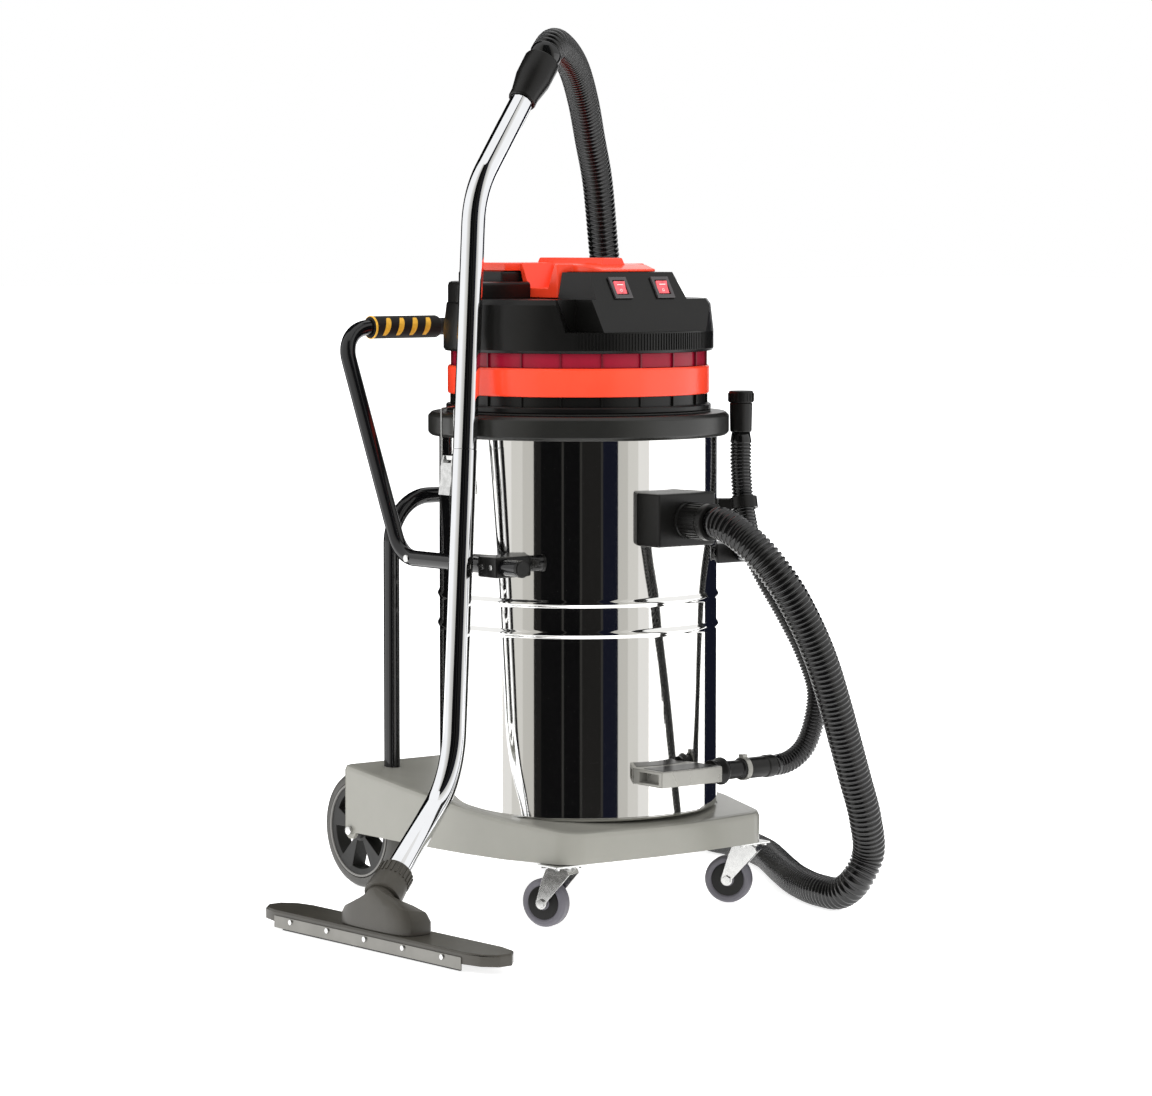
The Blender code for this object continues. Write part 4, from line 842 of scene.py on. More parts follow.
def build_cap(orange):
    """Top cover: a folded trough, open to both sides, with a carrying bar across it."""
    trough = [
        (0.145, BLOCK_Z + GAP), (0.145, CAP_TOP_Z - 0.003), (0.142, CAP_TOP_Z), (0.033, CAP_TOP_Z),
        (0.013, 0.973),
        (-0.033, 0.973), (-0.048, CAP_TOP_Z - 0.001), (-0.09, CAP_TOP_Z - 0.003),
        (-0.124, CONSOLE_Z + 0.0045),
        (-0.124, CONSOLE_Z + GAP), (-0.06, CONSOLE_Z + GAP), (-0.059, LEDGE_Z + 0.0015),
        (0.023, LEDGE_Z + 0.0015), (0.0365, BLOCK_Z + GAP),
    ]
    cap = solid("top_cover", prism(trough, -0.119, 0.119, "X"), orange)
    for sign in (-1, 1):
        plan = [
            (sign * 0.088, 0.0365), (sign * 0.088, -0.056), (sign * 0.064, -0.064), (sign * 0.064, -0.09),
            (sign * 0.052, -0.13)
        ]
        plan += [(sign * 0.13, -0.13), (sign * 0.13, 0.0365)]
        cut(cap, prism(plan, 0.94, 1.03))
    bar = [
        (-0.023, 1.0), (0.023, 1.0), (0.0255, 1.008), (0.019, GRIP_BAR_Z), (-0.019, GRIP_BAR_Z),
        (-0.0255, 1.008)
    ]
    join(cap, prism(bar, -0.085, 0.075, "Y"))


def build_motor(side, grey, black):
    x = side_sign(side) * MOTOR_X
    low = MOTOR_DECK_Z + 0.0005
    profile = [
        (0.022, low), (0.07, low), (0.07, low + 0.042), (0.05, low + 0.048), (0.05, 0.9), (0.035, 0.925),
        (0, 0.925),
        (0, 0.835), (0.0045, 0.835), (0.0045, 0.806), (0.064, 0.806), (0.064, low + 0.004),
        (0.022, low + 0.004),
    ]
    solid(f"motor_{side}", turned(profile, 24, Matrix.Translation((x, 0, 0))), grey)
    fan = [
        (0, 0.78), (FAN_R, 0.78), (FAN_R, 0.7815), (0.03, 0.783), (0.03, 0.795), (FAN_R, 0.7965),
        (FAN_R, 0.798),
        (0.004, 0.798), (0.004, 0.83), (0, 0.83),
    ]
    solid(f"impeller_{side}", turned(fan, 24, Matrix.Translation((x, 0, 0))), black)


def build_cage(grey, white):
    low, high = CAGE_Z
    heights = (low, low + 0.03, high - 0.03, high)
    columns = 24

    def at(i, j, side):
        a = math.tau * i / columns
        share = (heights[j] - low) / (high - low)
        radius = CAGE_R[1] + (CAGE_R[0] - CAGE_R[1]) * share - 0.003 * side
        return Vector((radius * math.cos(a), radius * math.sin(a), heights[j]))

    cage = solid("filter_cage", cells(columns, 3, lambda i, j: j != 1 or i % 2 == 0, at), grey)
    cup = [(0.035, low - 0.002), (CAGE_R[1], low - 0.002), (CAGE_R[1], low + 0.004), (0.03, low + 0.004)]
    join(cage, turned(cup, 24))
    ball = []
    centre = low + 0.004 + FLOAT_R - 0.006
    for k in range(13):
        a = math.radians(-90 + 15 * k)
        ball.append((max(0.0, FLOAT_R * math.cos(a)), centre + FLOAT_R * math.sin(a)))
    solid("float_ball", turned(ball, 24), white)


def build_gland(black):
    start = Vector((0, 0.2046, 0.93))
    profile = [
        (0, 0), (0.013, 0), (0.013, 0.01), (0.0095, 0.012), (0.007, 0.04), (0.0045, 0.04), (0.0045, 0.006),
        (0, 0.006)
    ]
    tilt = Vector((0, 1, 0))
    gland = solid("cable_gland", turned(profile, 16, along(start, tilt)), black)
    cut(
        gland,
        turned(
            [(0, 0.86), (COVER_R + 0.0007, 0.86), (COVER_R + 0.0007, COVER_RIM_Z), (0.2087, 0.95), (0, 0.95)],
            64
        )
    )


# ---- latches ---------------------------------------------------------------------------
def build_latch(side, steel):
    sign = side_sign(side)
    px, pz = LATCH_PIVOT
    bx, bz = BAIL_PIVOT
    half = LATCH_WIDTH / 2
    y0, y1 = LATCH_Y - half, LATCH_Y + half

    def xz(points):
        return [(sign * x, z) for x, z in points]

    base = [
        (0.218, 0.664), (0.2245, 0.664), (0.2245, 0.703), (px + 0.0035, pz - 0.0035),
        (px + 0.0035, pz + 0.0035), (px - 0.0035, pz + 0.0035), (0.218, 0.72)
    ]
    foot = solid(f"latch_base_{side}", prism(xz(base), y0 + 0.0045, y1 - 0.0045, "Y"), steel)
    cut(foot, rod(TANK_R + 0.0008, (0, 0, 0.6), (0, 0, 0.74), 96))
    cut(foot, rod(0.0021, (sign * px, -0.05, pz), (sign * px, 0.08, pz), 12))
    lever = [
        (px - 0.0035, pz + 0.0035), (px + 0.005, pz + 0.0035), (bx + 0.0045, bz), (0.248, 0.68),
        (0.252, 0.655),
        (0.249, 0.654), (0.244, 0.678), (bx - 0.0035, bz - 0.004), (px - 0.0035, pz - 0.0035),
    ]
    handle = solid(f"latch_lever_{side}", prism(xz(lever), y0, y1, "Y"), steel)
    at_pin = Matrix.Translation((sign * px, 0, 0))
    near, far = (-0.06, 0.00745) if sign > 0 else (-0.00745, 0.06)
    cut(handle, block((-0.06, y0 + 0.004, 0.7045), (0.06, y1 - 0.004, 0.73), 0.0, at_pin))
    cut(handle, block((near, y0 + 0.004, 0.686), (far, y1 - 0.004, 0.706), 0.0, at_pin))
    join(handle, rod(0.0018, (sign * px, y0 + 0.001, pz), (sign * px, y1 - 0.001, pz), 12))
    cut(handle, rod(0.0019, (sign * bx, y0 - 0.01, bz), (sign * bx, y1 + 0.01, bz), 12))
    wire = 0.0014
    out = half + 0.0022
    corners = [
        (sign * bx, LATCH_Y - half + 0.001, bz), (sign * bx, LATCH_Y - out, bz),
        (sign * bx, LATCH_Y - out, 0.788),
        (sign * BAIL_BAR_X, LATCH_Y - 0.01, 0.791), (sign * BAIL_BAR_X, LATCH_Y + 0.01, 0.791),
        (sign * bx, LATCH_Y + out, 0.788), (sign * bx, LATCH_Y + out, bz),
        (sign * bx, LATCH_Y + half - 0.001, bz),
    ]
    solid(f"latch_bail_{side}", swept(filleted(corners, 0.002, 2), wire, 0.0, 8), steel)


# ---- wand and floor tool ---------------------------------------------------------------
def wand_path():
    return filleted([WAND_NECK, WAND_LOW_BEND, WAND_HIGH_BEND, WAND_TOP], WAND_BEND_R, 7)


def trimmed(path, start, end):
    """The part of a path between two distances along it."""
    out = []
    done = 0.0
    for a, b in zip(path, path[1:]):
        step = (b - a).length
        for want in (start, end):
            if done <= want < done + step:
                out.append(a.lerp(b, (want - done) / step))
        if start < done + step < end - 1e-4:
            out.append(b)
        done += step
    return out


def build_wand(chrome, black, grey):
    path = wand_path()
    lengths = [0.0]
    for a, b in zip(path, path[1:]):
        lengths.append(lengths[-1] + (b - a).length)
    straight = next(i for i, p in enumerate(path) if p.z > WAND_JOINT_Z)
    low, high = path[straight - 1], path[straight]
    share = (WAND_JOINT_Z - low.z) / (high.z - low.z)
    joint = lengths[straight - 1] + (lengths[straight] - lengths[straight - 1]) * share
    top = lengths[-1] - WAND_CUFF_LENGTH + 0.03
    solid("wand_lower", swept(trimmed(path, 0.004, joint), WAND_R, WAND_R - 0.0015, 16), chrome)
    solid("wand_upper", swept(trimmed(path, joint + GAP, top), WAND_R - 0.0004, WAND_R - 0.0019, 16), chrome)
    ahead = (path[-1] - path[-2]).normalized()
    start = WAND_TOP - ahead * WAND_CUFF_LENGTH
    length = WAND_CUFF_LENGTH
    cuff = [
        (WAND_R, 0), (0.0215, 0), (0.0225, 0.003), (0.0225, 0.014), (0.028, 0.045), (0.0285, length - 0.003),
        (0.0275, length),
        (0.015, length), (0.015, 0.032), (WAND_R, 0.032),
    ]
    solid("wand_cuff", turned(cuff, 24, along(start, ahead)), black)
    ahead = (WAND_LOW_BEND - WAND_NECK).normalized()
    inner = WAND_R + GAP
    collar = [
        (inner, 0), (0.029, 0), (0.0295, 0.003), (0.028, 0.026), (0.0262, 0.03),
        (0.0262, COLLAR_LENGTH - 0.002),
        (0.0245, COLLAR_LENGTH), (inner, COLLAR_LENGTH),
    ]
    start = WAND_NECK + ahead * (NECK_RISE + 0.0006)
    solid("wand_collar", turned(collar, 24, along(start, ahead)), grey)


def stadium(length, width, steps=5):
    """Outline in plan of a plate with rounded ends, long side along Y, round the tool's middle."""
    reach = length / 2 - width * 0.75
    out = []
    for sign, start in ((1, 0.0), (-1, 180.0)):
        for k in range(steps + 1):
            a = math.radians(start + 180.0 * k / steps)
            y = TOOL_AT.y + sign * reach + math.sin(a) * width * 0.75
            out.append((TOOL_AT.x + math.cos(a) * width / 2, y))
    return out


def build_tool(grey, rubber, steel):
    low, high = TOOL_Z
    bm = prism(stadium(TOOL_LENGTH, TOOL_WIDTH), low, high)
    bmesh.ops.recalc_face_normals(bm, faces=bm.faces)
    top = max(bm.faces, key=lambda f: f.normal.z * f.calc_area())
    bmesh.ops.bevel(bm, geom=top.edges[:], offset=0.003, segments=2, profile=0.5, affect="EDGES")
    plate = solid("tool_plate", bm, grey)
    cut(plate, prism(stadium(TOOL_LENGTH - 0.01, TOOL_WIDTH - 0.01), 0.0, high - 0.005))
    cut(plate, block((TOOL_AT.x - 0.018, TOOL_AT.y - 0.03, 0.0), (TOOL_AT.x + 0.018, TOOL_AT.y + 0.03, 0.05)))
    ahead = (WAND_LOW_BEND - WAND_NECK).normalized()
    build_hood(ahead, grey)
    for name, x in (("squeegee_front", -0.03), ("squeegee_rear", 0.03)):
        low_corner = (TOOL_AT.x + x - 0.0022, TOOL_AT.y - 0.222, 0.0)
        solid(name, block(low_corner, (TOOL_AT.x + x + 0.0022, TOOL_AT.y + 0.222, high - 0.0053)), rubber)
    x = TOOL_AT.x - TOOL_WIDTH / 2 - GAP
    strip = block((x - 0.0015, TOOL_AT.y - 0.234, low - 0.008), (x, TOOL_AT.y + 0.234, low + 0.0105))
    solid("squeegee_strip", strip, steel)


def build_hood(ahead, grey):
    """Hollow hood: a round neck that widens into a long base on the plate."""
    sides = 24
    base = TOOL_AT + Vector((0, 0, TOOL_Z[1] + GAP))
    across = (Vector((1, 0, 0)) - ahead * ahead.x).normalized()
    beside = ahead.cross(across)
    bm = bmesh.new()
    rings = []
    for wall in (0.0, 0.004):
        stack = []
        for level, (share, rise) in enumerate(HOOD_LEVELS):
            ring = []
            for k in range(sides):
                a = math.tau * k / sides
                c, s = math.cos(a), math.sin(a)
                x = abs(c) ** 0.45 * math.copysign(0.032 - wall, c)
                low = base + Vector((x, abs(s) ** 0.6 * math.copysign(0.088 - wall, s), 0.0))
                r = 0.0235 - wall
                high = WAND_NECK + (across * c + beside * s) * r + ahead * (NECK_RISE if level == 5 else 0.0)
                point = low.lerp(high, share)
                point.z = low.z + (high.z - low.z) * rise
                ring.append(bm.verts.new(point))
            stack.append(ring)
        rings.append(stack)
    for stack in rings:
        for a, b in zip(stack, stack[1:]):
            skin(bm, a, b)
    for level in (0, -1):
        skin(bm, rings[0][level], rings[1][level])
    solid("tool_hood", bm, grey)


# ---- materials -------------------------------------------------------------------------
def look(name, colour, roughness, metallic=0.0, coat=0.0, grain=0.0, grain_size=0.0015, mottle=0.1,
         mottle_size=0.05, rough_span=0.06, streak=None, level=0.5):
    """Principled material whose colour and gloss vary a little, with an optional fine grain."""
    mat = bpy.data.materials.new(name)
    mat.use_nodes = True
    tree = mat.node_tree
    shader = tree.nodes["Principled BSDF"]
    shader.inputs["Metallic"].default_value = metallic
    shader.inputs["Coat Weight"].default_value = coat
    shader.inputs["Coat Roughness"].default_value = 0.06
    shader.inputs["Specular IOR Level"].default_value = level
    coords = tree.nodes.new("ShaderNodeTexCoord")
    place = coords.outputs["Object"]
    if streak:
        stretch = tree.nodes.new("ShaderNodeMapping")
        stretch.inputs["Scale"].default_value = streak
        tree.links.new(place, stretch.inputs["Vector"])
        place = stretch.outputs["Vector"]
    noise = tree.nodes.new("ShaderNodeTexNoise")
    noise.inputs["Scale"].default_value = 1.0 / mottle_size
    noise.inputs["Detail"].default_value = 4.0
    tree.links.new(place, noise.inputs["Vector"])
    ramp = tree.nodes.new("ShaderNodeValToRGB")
    ramp.color_ramp.elements[0].position = 0.3
    ramp.color_ramp.elements[1].position = 0.7
    ramp.color_ramp.elements[0].color = (*[c * (1.0 - mottle) for c in colour], 1.0)
    ramp.color_ramp.elements[1].color = (*[min(1.0, c * (1.0 + mottle)) for c in colour], 1.0)
    tree.links.new(noise.outputs["Fac"], ramp.inputs["Fac"])
    tree.links.new(ramp.outputs["Color"], shader.inputs["Base Color"])
    gloss = tree.nodes.new("ShaderNodeMapRange")
    gloss.inputs["To Min"].default_value = max(0.0, roughness - rough_span / 2)
    gloss.inputs["To Max"].default_value = min(1.0, roughness + rough_span / 2)
    tree.links.new(noise.outputs["Fac"], gloss.inputs["Value"])
    tree.links.new(gloss.outputs["Result"], shader.inputs["Roughness"])
    if grain:
        fine = tree.nodes.new("ShaderNodeTexNoise")
        fine.inputs["Scale"].default_value = 1.0 / grain_size
        fine.inputs["Detail"].default_value = 3.0
        tree.links.new(coords.outputs["Object"], fine.inputs["Vector"])
        bump = tree.nodes.new("ShaderNodeBump")
        bump.inputs["Strength"].default_value = grain
        bump.inputs["Distance"].default_value = grain_size * 0.25
        tree.links.new(fine.outputs["Fac"], bump.inputs["Height"])
        tree.links.new(bump.outputs["Normal"], shader.inputs["Normal"])
    return mat


# ---- finer pieces and details ----------------------------------------------------------
def detail(name, bm, mat, body, bevel=0.0):
    """A piece of its own on a body, beside the ones that stand for CAD nodes."""
    return solid(name, bm, mat, 35.0, bevel, f"{name}_detail", body)


def route_length(points):
    return sum((b - a).length for a, b in zip(points, points[1:]))


def ribbed_hose(name, route, outer, ribbing, mat, sides=28):
    """Hose with ring-shaped ribs, following its CAD route."""
    depth, pitch = ribbing
    rough = smooth_route(route, 500)
    wave = (0.0, 0.04, 0.55, 1.0, 0.55, 0.04)     # depth along one rib, as shares of the whole
    ribs = round(route_length(rough) / pitch)
    line = smooth_route(route, ribs * len(wave) + 1)
    bm = bmesh.new()
    ahead = (line[1] - line[0]).normalized()
    side = ahead.orthogonal().normalized()
    rings = []
    for i, point in enumerate(line):
        prev = line[max(i - 1, 0)]
        after = line[min(i + 1, len(line) - 1)]
        ahead = (after - prev).normalized()
        side = (side - ahead * side.dot(ahead)).normalized()
        other = ahead.cross(side)
        r = outer - depth * (1.0 if i in (0, len(line) - 1) else wave[i % len(wave)])
        ring = []
        for k in range(sides):
            a = math.tau * k / sides
            ring.append(bm.verts.new(point + AXIS + (side * math.cos(a) + other * math.sin(a)) * r))
        rings.append(ring)
    for a, b in zip(rings, rings[1:]):
        skin(bm, a, b)
    bm.faces.new(list(reversed(rings[0])))
    bm.faces.new(rings[-1])
    bmesh.ops.recalc_face_normals(bm, faces=bm.faces)
    obj = add_object(f"{name}_shape", bm, mat, name)
    obj.data.shade_smooth()
    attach(obj, "base")
    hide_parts(name)
    return obj


def radial_block(angle, r0, r1, half, low, high):
    """Upright block on the tank's axis, turned to an angle in degrees from +X."""
    return block((r0, -half, low), (r1, half, high), 0.0, Matrix.Rotation(math.radians(angle), 4, "Z"))


def many(shapes):
    """One bmesh from several that don't touch."""
    out = bmesh.new()
    for bm in shapes:
        mesh = bpy.data.meshes.new("part")
        bm.to_mesh(mesh)
        bm.free()
        out.from_mesh(mesh)
        bpy.data.meshes.remove(mesh)
    return out


def band_ribs(red, black):
    angles = [BAND_RIB_START + 360 / BAND_RIBS * k for k in range(BAND_RIBS)]
    top = FINS_TOP_Z - 0.0004
    # The ribs are a darker red than the band: painted shade of the notches between them.
    ribs = [radial_block(a, FINS_R - 0.002, FINS_R + 0.0035, 0.0011, BAND_Z[1], top) for a in angles]
    detail("vent_ribs", many(ribs), red, "head")
    slats = [radial_block(a, 0.1925, 0.2045, 0.0016, 0.7925, 0.8075) for a in angles]
    detail("neck_ribs", many(slats), black, "head")


def cover_fins(black):
    fins = []
    for k in range(COVER_FINS):
        angle = -90 - COVER_FIN_SPAN / 2 + COVER_FIN_SPAN * k / (COVER_FINS - 1)
        fins.append(radial_block(angle, COVER_R - 0.0015, COVER_R + 0.0016, 0.001, 0.8795, 0.905))
    detail("cover_fins", many(fins), black, "head")


def ribs_on(frame, radius, height, low, high, count, half=0.0012):
    """Lengthwise ribs round a cuff, on a frame whose Z is the cuff's axis."""
    out = []
    for k in range(count):
        turn = frame @ Matrix.Rotation(math.tau * k / count, 4, "Z")
        out.append(block((radius - 0.001, -half, low), (radius + height, half, high), 0.0, turn))
    return many(out)


def hexagon(radius, start, end):
    return rod(radius, start, end, 2)


def build_wheel_parts(side, plastic, rubber, pale):
    sign = side_sign(side)
    body = f"rear_wheel_{side}"
    x0, x1 = REAR_WHEEL_X
    spoke_pitch, spoke_width = 24, 9              # in columns
    columns = SPOKES * spoke_pitch
    radii = (AXLE_R + GAP, 0.019, 0.064, 0.0778)
    inset = (0.001, 0.003, 0.003, 0.001)

    def at(i, j, end):
        a = math.tau * i / columns
        x = x0 + inset[j] if end == 0 else x1 - inset[j]
        return Vector((sign * x, REAR_AXLE_Y + radii[j] * math.cos(a), REAR_AXLE_Z + radii[j] * math.sin(a)))

    def filled(i, j):
        return j != 1 or i % spoke_pitch < spoke_width

    solid(body, cells(columns, 3, filled, at), plastic, bevel=0.001)
    half = (x1 - x0) / 2
    middle = along((sign * (x0 + x1) / 2, REAR_AXLE_Y, REAR_AXLE_Z), (1, 0, 0))
    r = REAR_WHEEL_R
    tyre = mirrored([
        (0.0776, -half + 0.003), (0.079, -half + 0.0006), (0.086, -half), (0.0915, -half + 0.003),
        (r - 0.0008, -half + 0.0075), (r, -half + 0.011),
    ])
    solid(f"{body}_tyre", turned(tyre, 40, middle), rubber, bevel=0.0, node=body, body=body)
    for end in (-1, 1):
        # Lip rings on both rims, coloured pale grey as a painted highlight along the rim's edges.
        lip = [
            (0.0735, end * (half - 0.0014)), (0.0772, end * (half - 0.0014)), (0.0772, end * (half + 0.0002)),
            (0.074, end * (half + 0.0002))
        ]
        detail(f"{body}_lip{end}", turned(lip, 40, middle), pale, body)
        hub = [
            (AXLE_R + 0.0008, end * (half - 0.002)), (0.015, end * (half - 0.002)),
            (0.0142, end * (half + 0.0006)), (AXLE_R + 0.0008, end * (half + 0.0006))
        ]
        detail(f"{body}_hub{end}", turned(hub, 16, middle), plastic, body)


def castor_details(side, zinc, black):
    swivel = castor_frame(side)
    pivot = swivel.translation
    axle = swivel @ Vector((0, CASTOR_TRAIL, CASTOR_WHEEL_R))
    across = swivel.to_3x3() @ Vector((1, 0, 0))
    half = CASTOR_WHEEL_W / 2 + 0.0045
    fork = f"castor_fork_{side}"
    for end in (-1, 1):
        near = axle + across * end * (half - 0.0002)
        nut = hexagon(0.0072, near, near + across * end * 0.0042)
        detail(f"{fork}_nut{end}", nut, zinc, fork, bevel=0.0004)
    wheel = f"castor_wheel_{side}"
    for end in (-1, 1):
        w = CASTOR_WHEEL_W / 2
        disc = [
            (0.005, end * (w - 0.0036)), (0.0262, end * (w - 0.0036)), (0.0262, end * (w - 0.0022)),
            (0.024, end * (w - 0.0016)), (0.005, end * (w - 0.0016))
        ]
        detail(f"{wheel}_hub{end}", turned(disc, 16, along(axle, across)), black, wheel)
    top = CASTOR_TOP_Z - 0.0036
    race = [
        (0.0, top - 0.0052), (0.015, top - 0.0052), (0.0172, top - 0.0036), (0.0172, top - 0.001),
        (0.015, top - 0.0004), (0.0, top - 0.0004)
    ]
    detail(f"{fork}_race", turned(race, 16, along(pivot, (0, 0, 1))), zinc, fork)
    bolts = []
    for bx in (-0.023, 0.023):
        for by in (-0.017, 0.017):
            at = pivot + Vector((bx, by, 0))
            low, high = (at + Vector((0, 0, CASTOR_TOP_Z - drop)) for drop in (0.0065, 0.0034))
            bolts.append(hexagon(0.004, low, high))
    detail(f"castor_bolts_{side}", many(bolts), zinc, "base", bevel=0.0003)


def grip_details(yellow):
    y, z = HANDLE_TOP
    for sign in (-1, 1):
        outer = along((sign * 0.1805, y, z), (-sign, 0, 0))
        ring = [
            (TUBE_R + 0.0005, 0.0), (0.0168, 0.0), (0.0187, 0.0012), (0.0187, 0.0036), (0.0178, 0.0044),
            (TUBE_R + 0.0005, 0.0044)
        ]
        detail(f"grip_ring{sign}", turned(ring, 16, outer), yellow, "base")
        patches = []
        for k in range(GRIP_PATCHES):
            bm = bmesh.new()
            rows = []
            for i in range(9):
                a = math.radians(-60 + 100 * i / 8 - 75)
                slant = 0.009 * (i / 8 - 0.5)
                edge = 0.0052 - 0.0018 * abs(i / 4 - 1) ** 3
                row = []
                for end in (-1, 1):
                    along_x = 0.024 + GRIP_PATCH_PITCH * k + slant + end * edge
                    r = 0.01835
                    at = Vector((sign * (0.1805 - along_x), y + r * math.sin(a), z + r * math.cos(a)))
                    row.append(bm.verts.new(at))
                rows.append(row)
            for one, two in zip(rows, rows[1:]):
                bm.faces.new([one[0], one[1], two[1], two[0]])
            patches.append(bm)
        detail(f"grip_patches{sign}", many(patches), yellow, "base")


def wand_details(dark):
    ahead = (WAND_LOW_BEND - WAND_NECK).normalized()
    start = WAND_NECK + ahead * (NECK_RISE + 0.0006)
    shell = along(start, ahead)
    ribs = ribs_on(shell, 0.0262, 0.0016, 0.033, COLLAR_LENGTH - 0.003, 22, 0.0015)
    detail("collar_ribs", ribs, dark, "wand_collar")


def tool_details(steel):
    x = TOOL_AT.x - TOOL_WIDTH / 2 - GAP - 0.0015
    bolts = []
    for k in range(STRIP_BOLTS):
        y = TOOL_AT.y - 0.19 + STRIP_BOLT_PITCH * k
        bolts.append(rod(0.0042, (x - 0.0022, y, TOOL_Z[0] + 0.005), (x + 0.0005, y, TOOL_Z[0] + 0.005), 6))
    detail("tool_bolts", many(bolts), steel, "base", bevel=0.0004)


def drain_details(black):
    """Dark inset in the top of the drain box."""
    low = DRAIN_Z + 0.0118
    inset = block((-0.055, -0.2745, low), (0.054, -0.227, low + 0.0012))
    detail("drain_inset", inset, black, "base", bevel=0.0004)


def cuff_details(black):
    shell = along((0, INLET_FRONT_Y - GAP, INLET_Z), (0, -1, 0))
    length = INLET_FRONT_Y - CUFF_FRONT_Y
    detail("inlet_ribs", ribs_on(shell, 0.0268, 0.0014, 0.007, length - 0.014, 28, 0.0011), black, "base")
    cap = along((DRAIN_TOP.x, DRAIN_TOP.y, DRAIN_TOP.z), (0, 0, 1))
    detail("cap_ribs", ribs_on(cap, 0.0196, 0.0012, 0.0485, 0.061, 22, 0.0011), black, "drain_cap")


def clamp_details(side, steel, black):
    sign = side_sign(side)
    x = sign * (HANDLE_X + 0.0182)
    for y in (-0.104, -0.082):
        screw = rod(0.0042, (x - sign * 0.001, y, HANDLE_RUN_Z), (x + sign * 0.0014, y, HANDLE_RUN_Z), 6)
        detail(f"clamp_screw_{side}{y}", screw, steel, "base", bevel=0.0003)
    end = along((sign * HANDLE_X, HANDLE_FRONT_Y + 0.001, HANDLE_RUN_Z), (0, 1, 0))
    cap = [
        (0, -0.0012), (TUBE_R - 0.0008, -0.0012), (TUBE_R + 0.0006, 0.0), (TUBE_R + 0.0006, 0.006), (0, 0.006)
    ]
    detail(f"handle_plug_{side}", turned(cap, 16, end), black, "base")
    at = Vector((sign * (HANDLE_X + TUBE_R), 0.12, HANDLE_RUN_Z))
    out = Vector((sign, 0, 0))
    bolt = rod(0.0058, at - out * 0.002, at + out * 0.0018, 8)
    detail(f"frame_bolt_{side}", bolt, steel, "base", bevel=0.0005)


def switch_details(side, pale):
    """Plain raised marks for on and off: a bar and a ring."""
    x = SWITCH_X[0] if side == "left" else SWITCH_X[1]
    face = panel_frame(x, SWITCH_Z)
    bar = block((-0.006, 0.0035, 0.0036), (0.006, 0.005, 0.0042), 0.0, face)
    ring = pipe(0.0024, 0.0017, face @ Vector((0, -0.0045, 0.0012)), face @ Vector((0, -0.0045, 0.0022)))
    detail(f"switch_marks_{side}", many([bar, ring]), pale, f"switch_{side}")


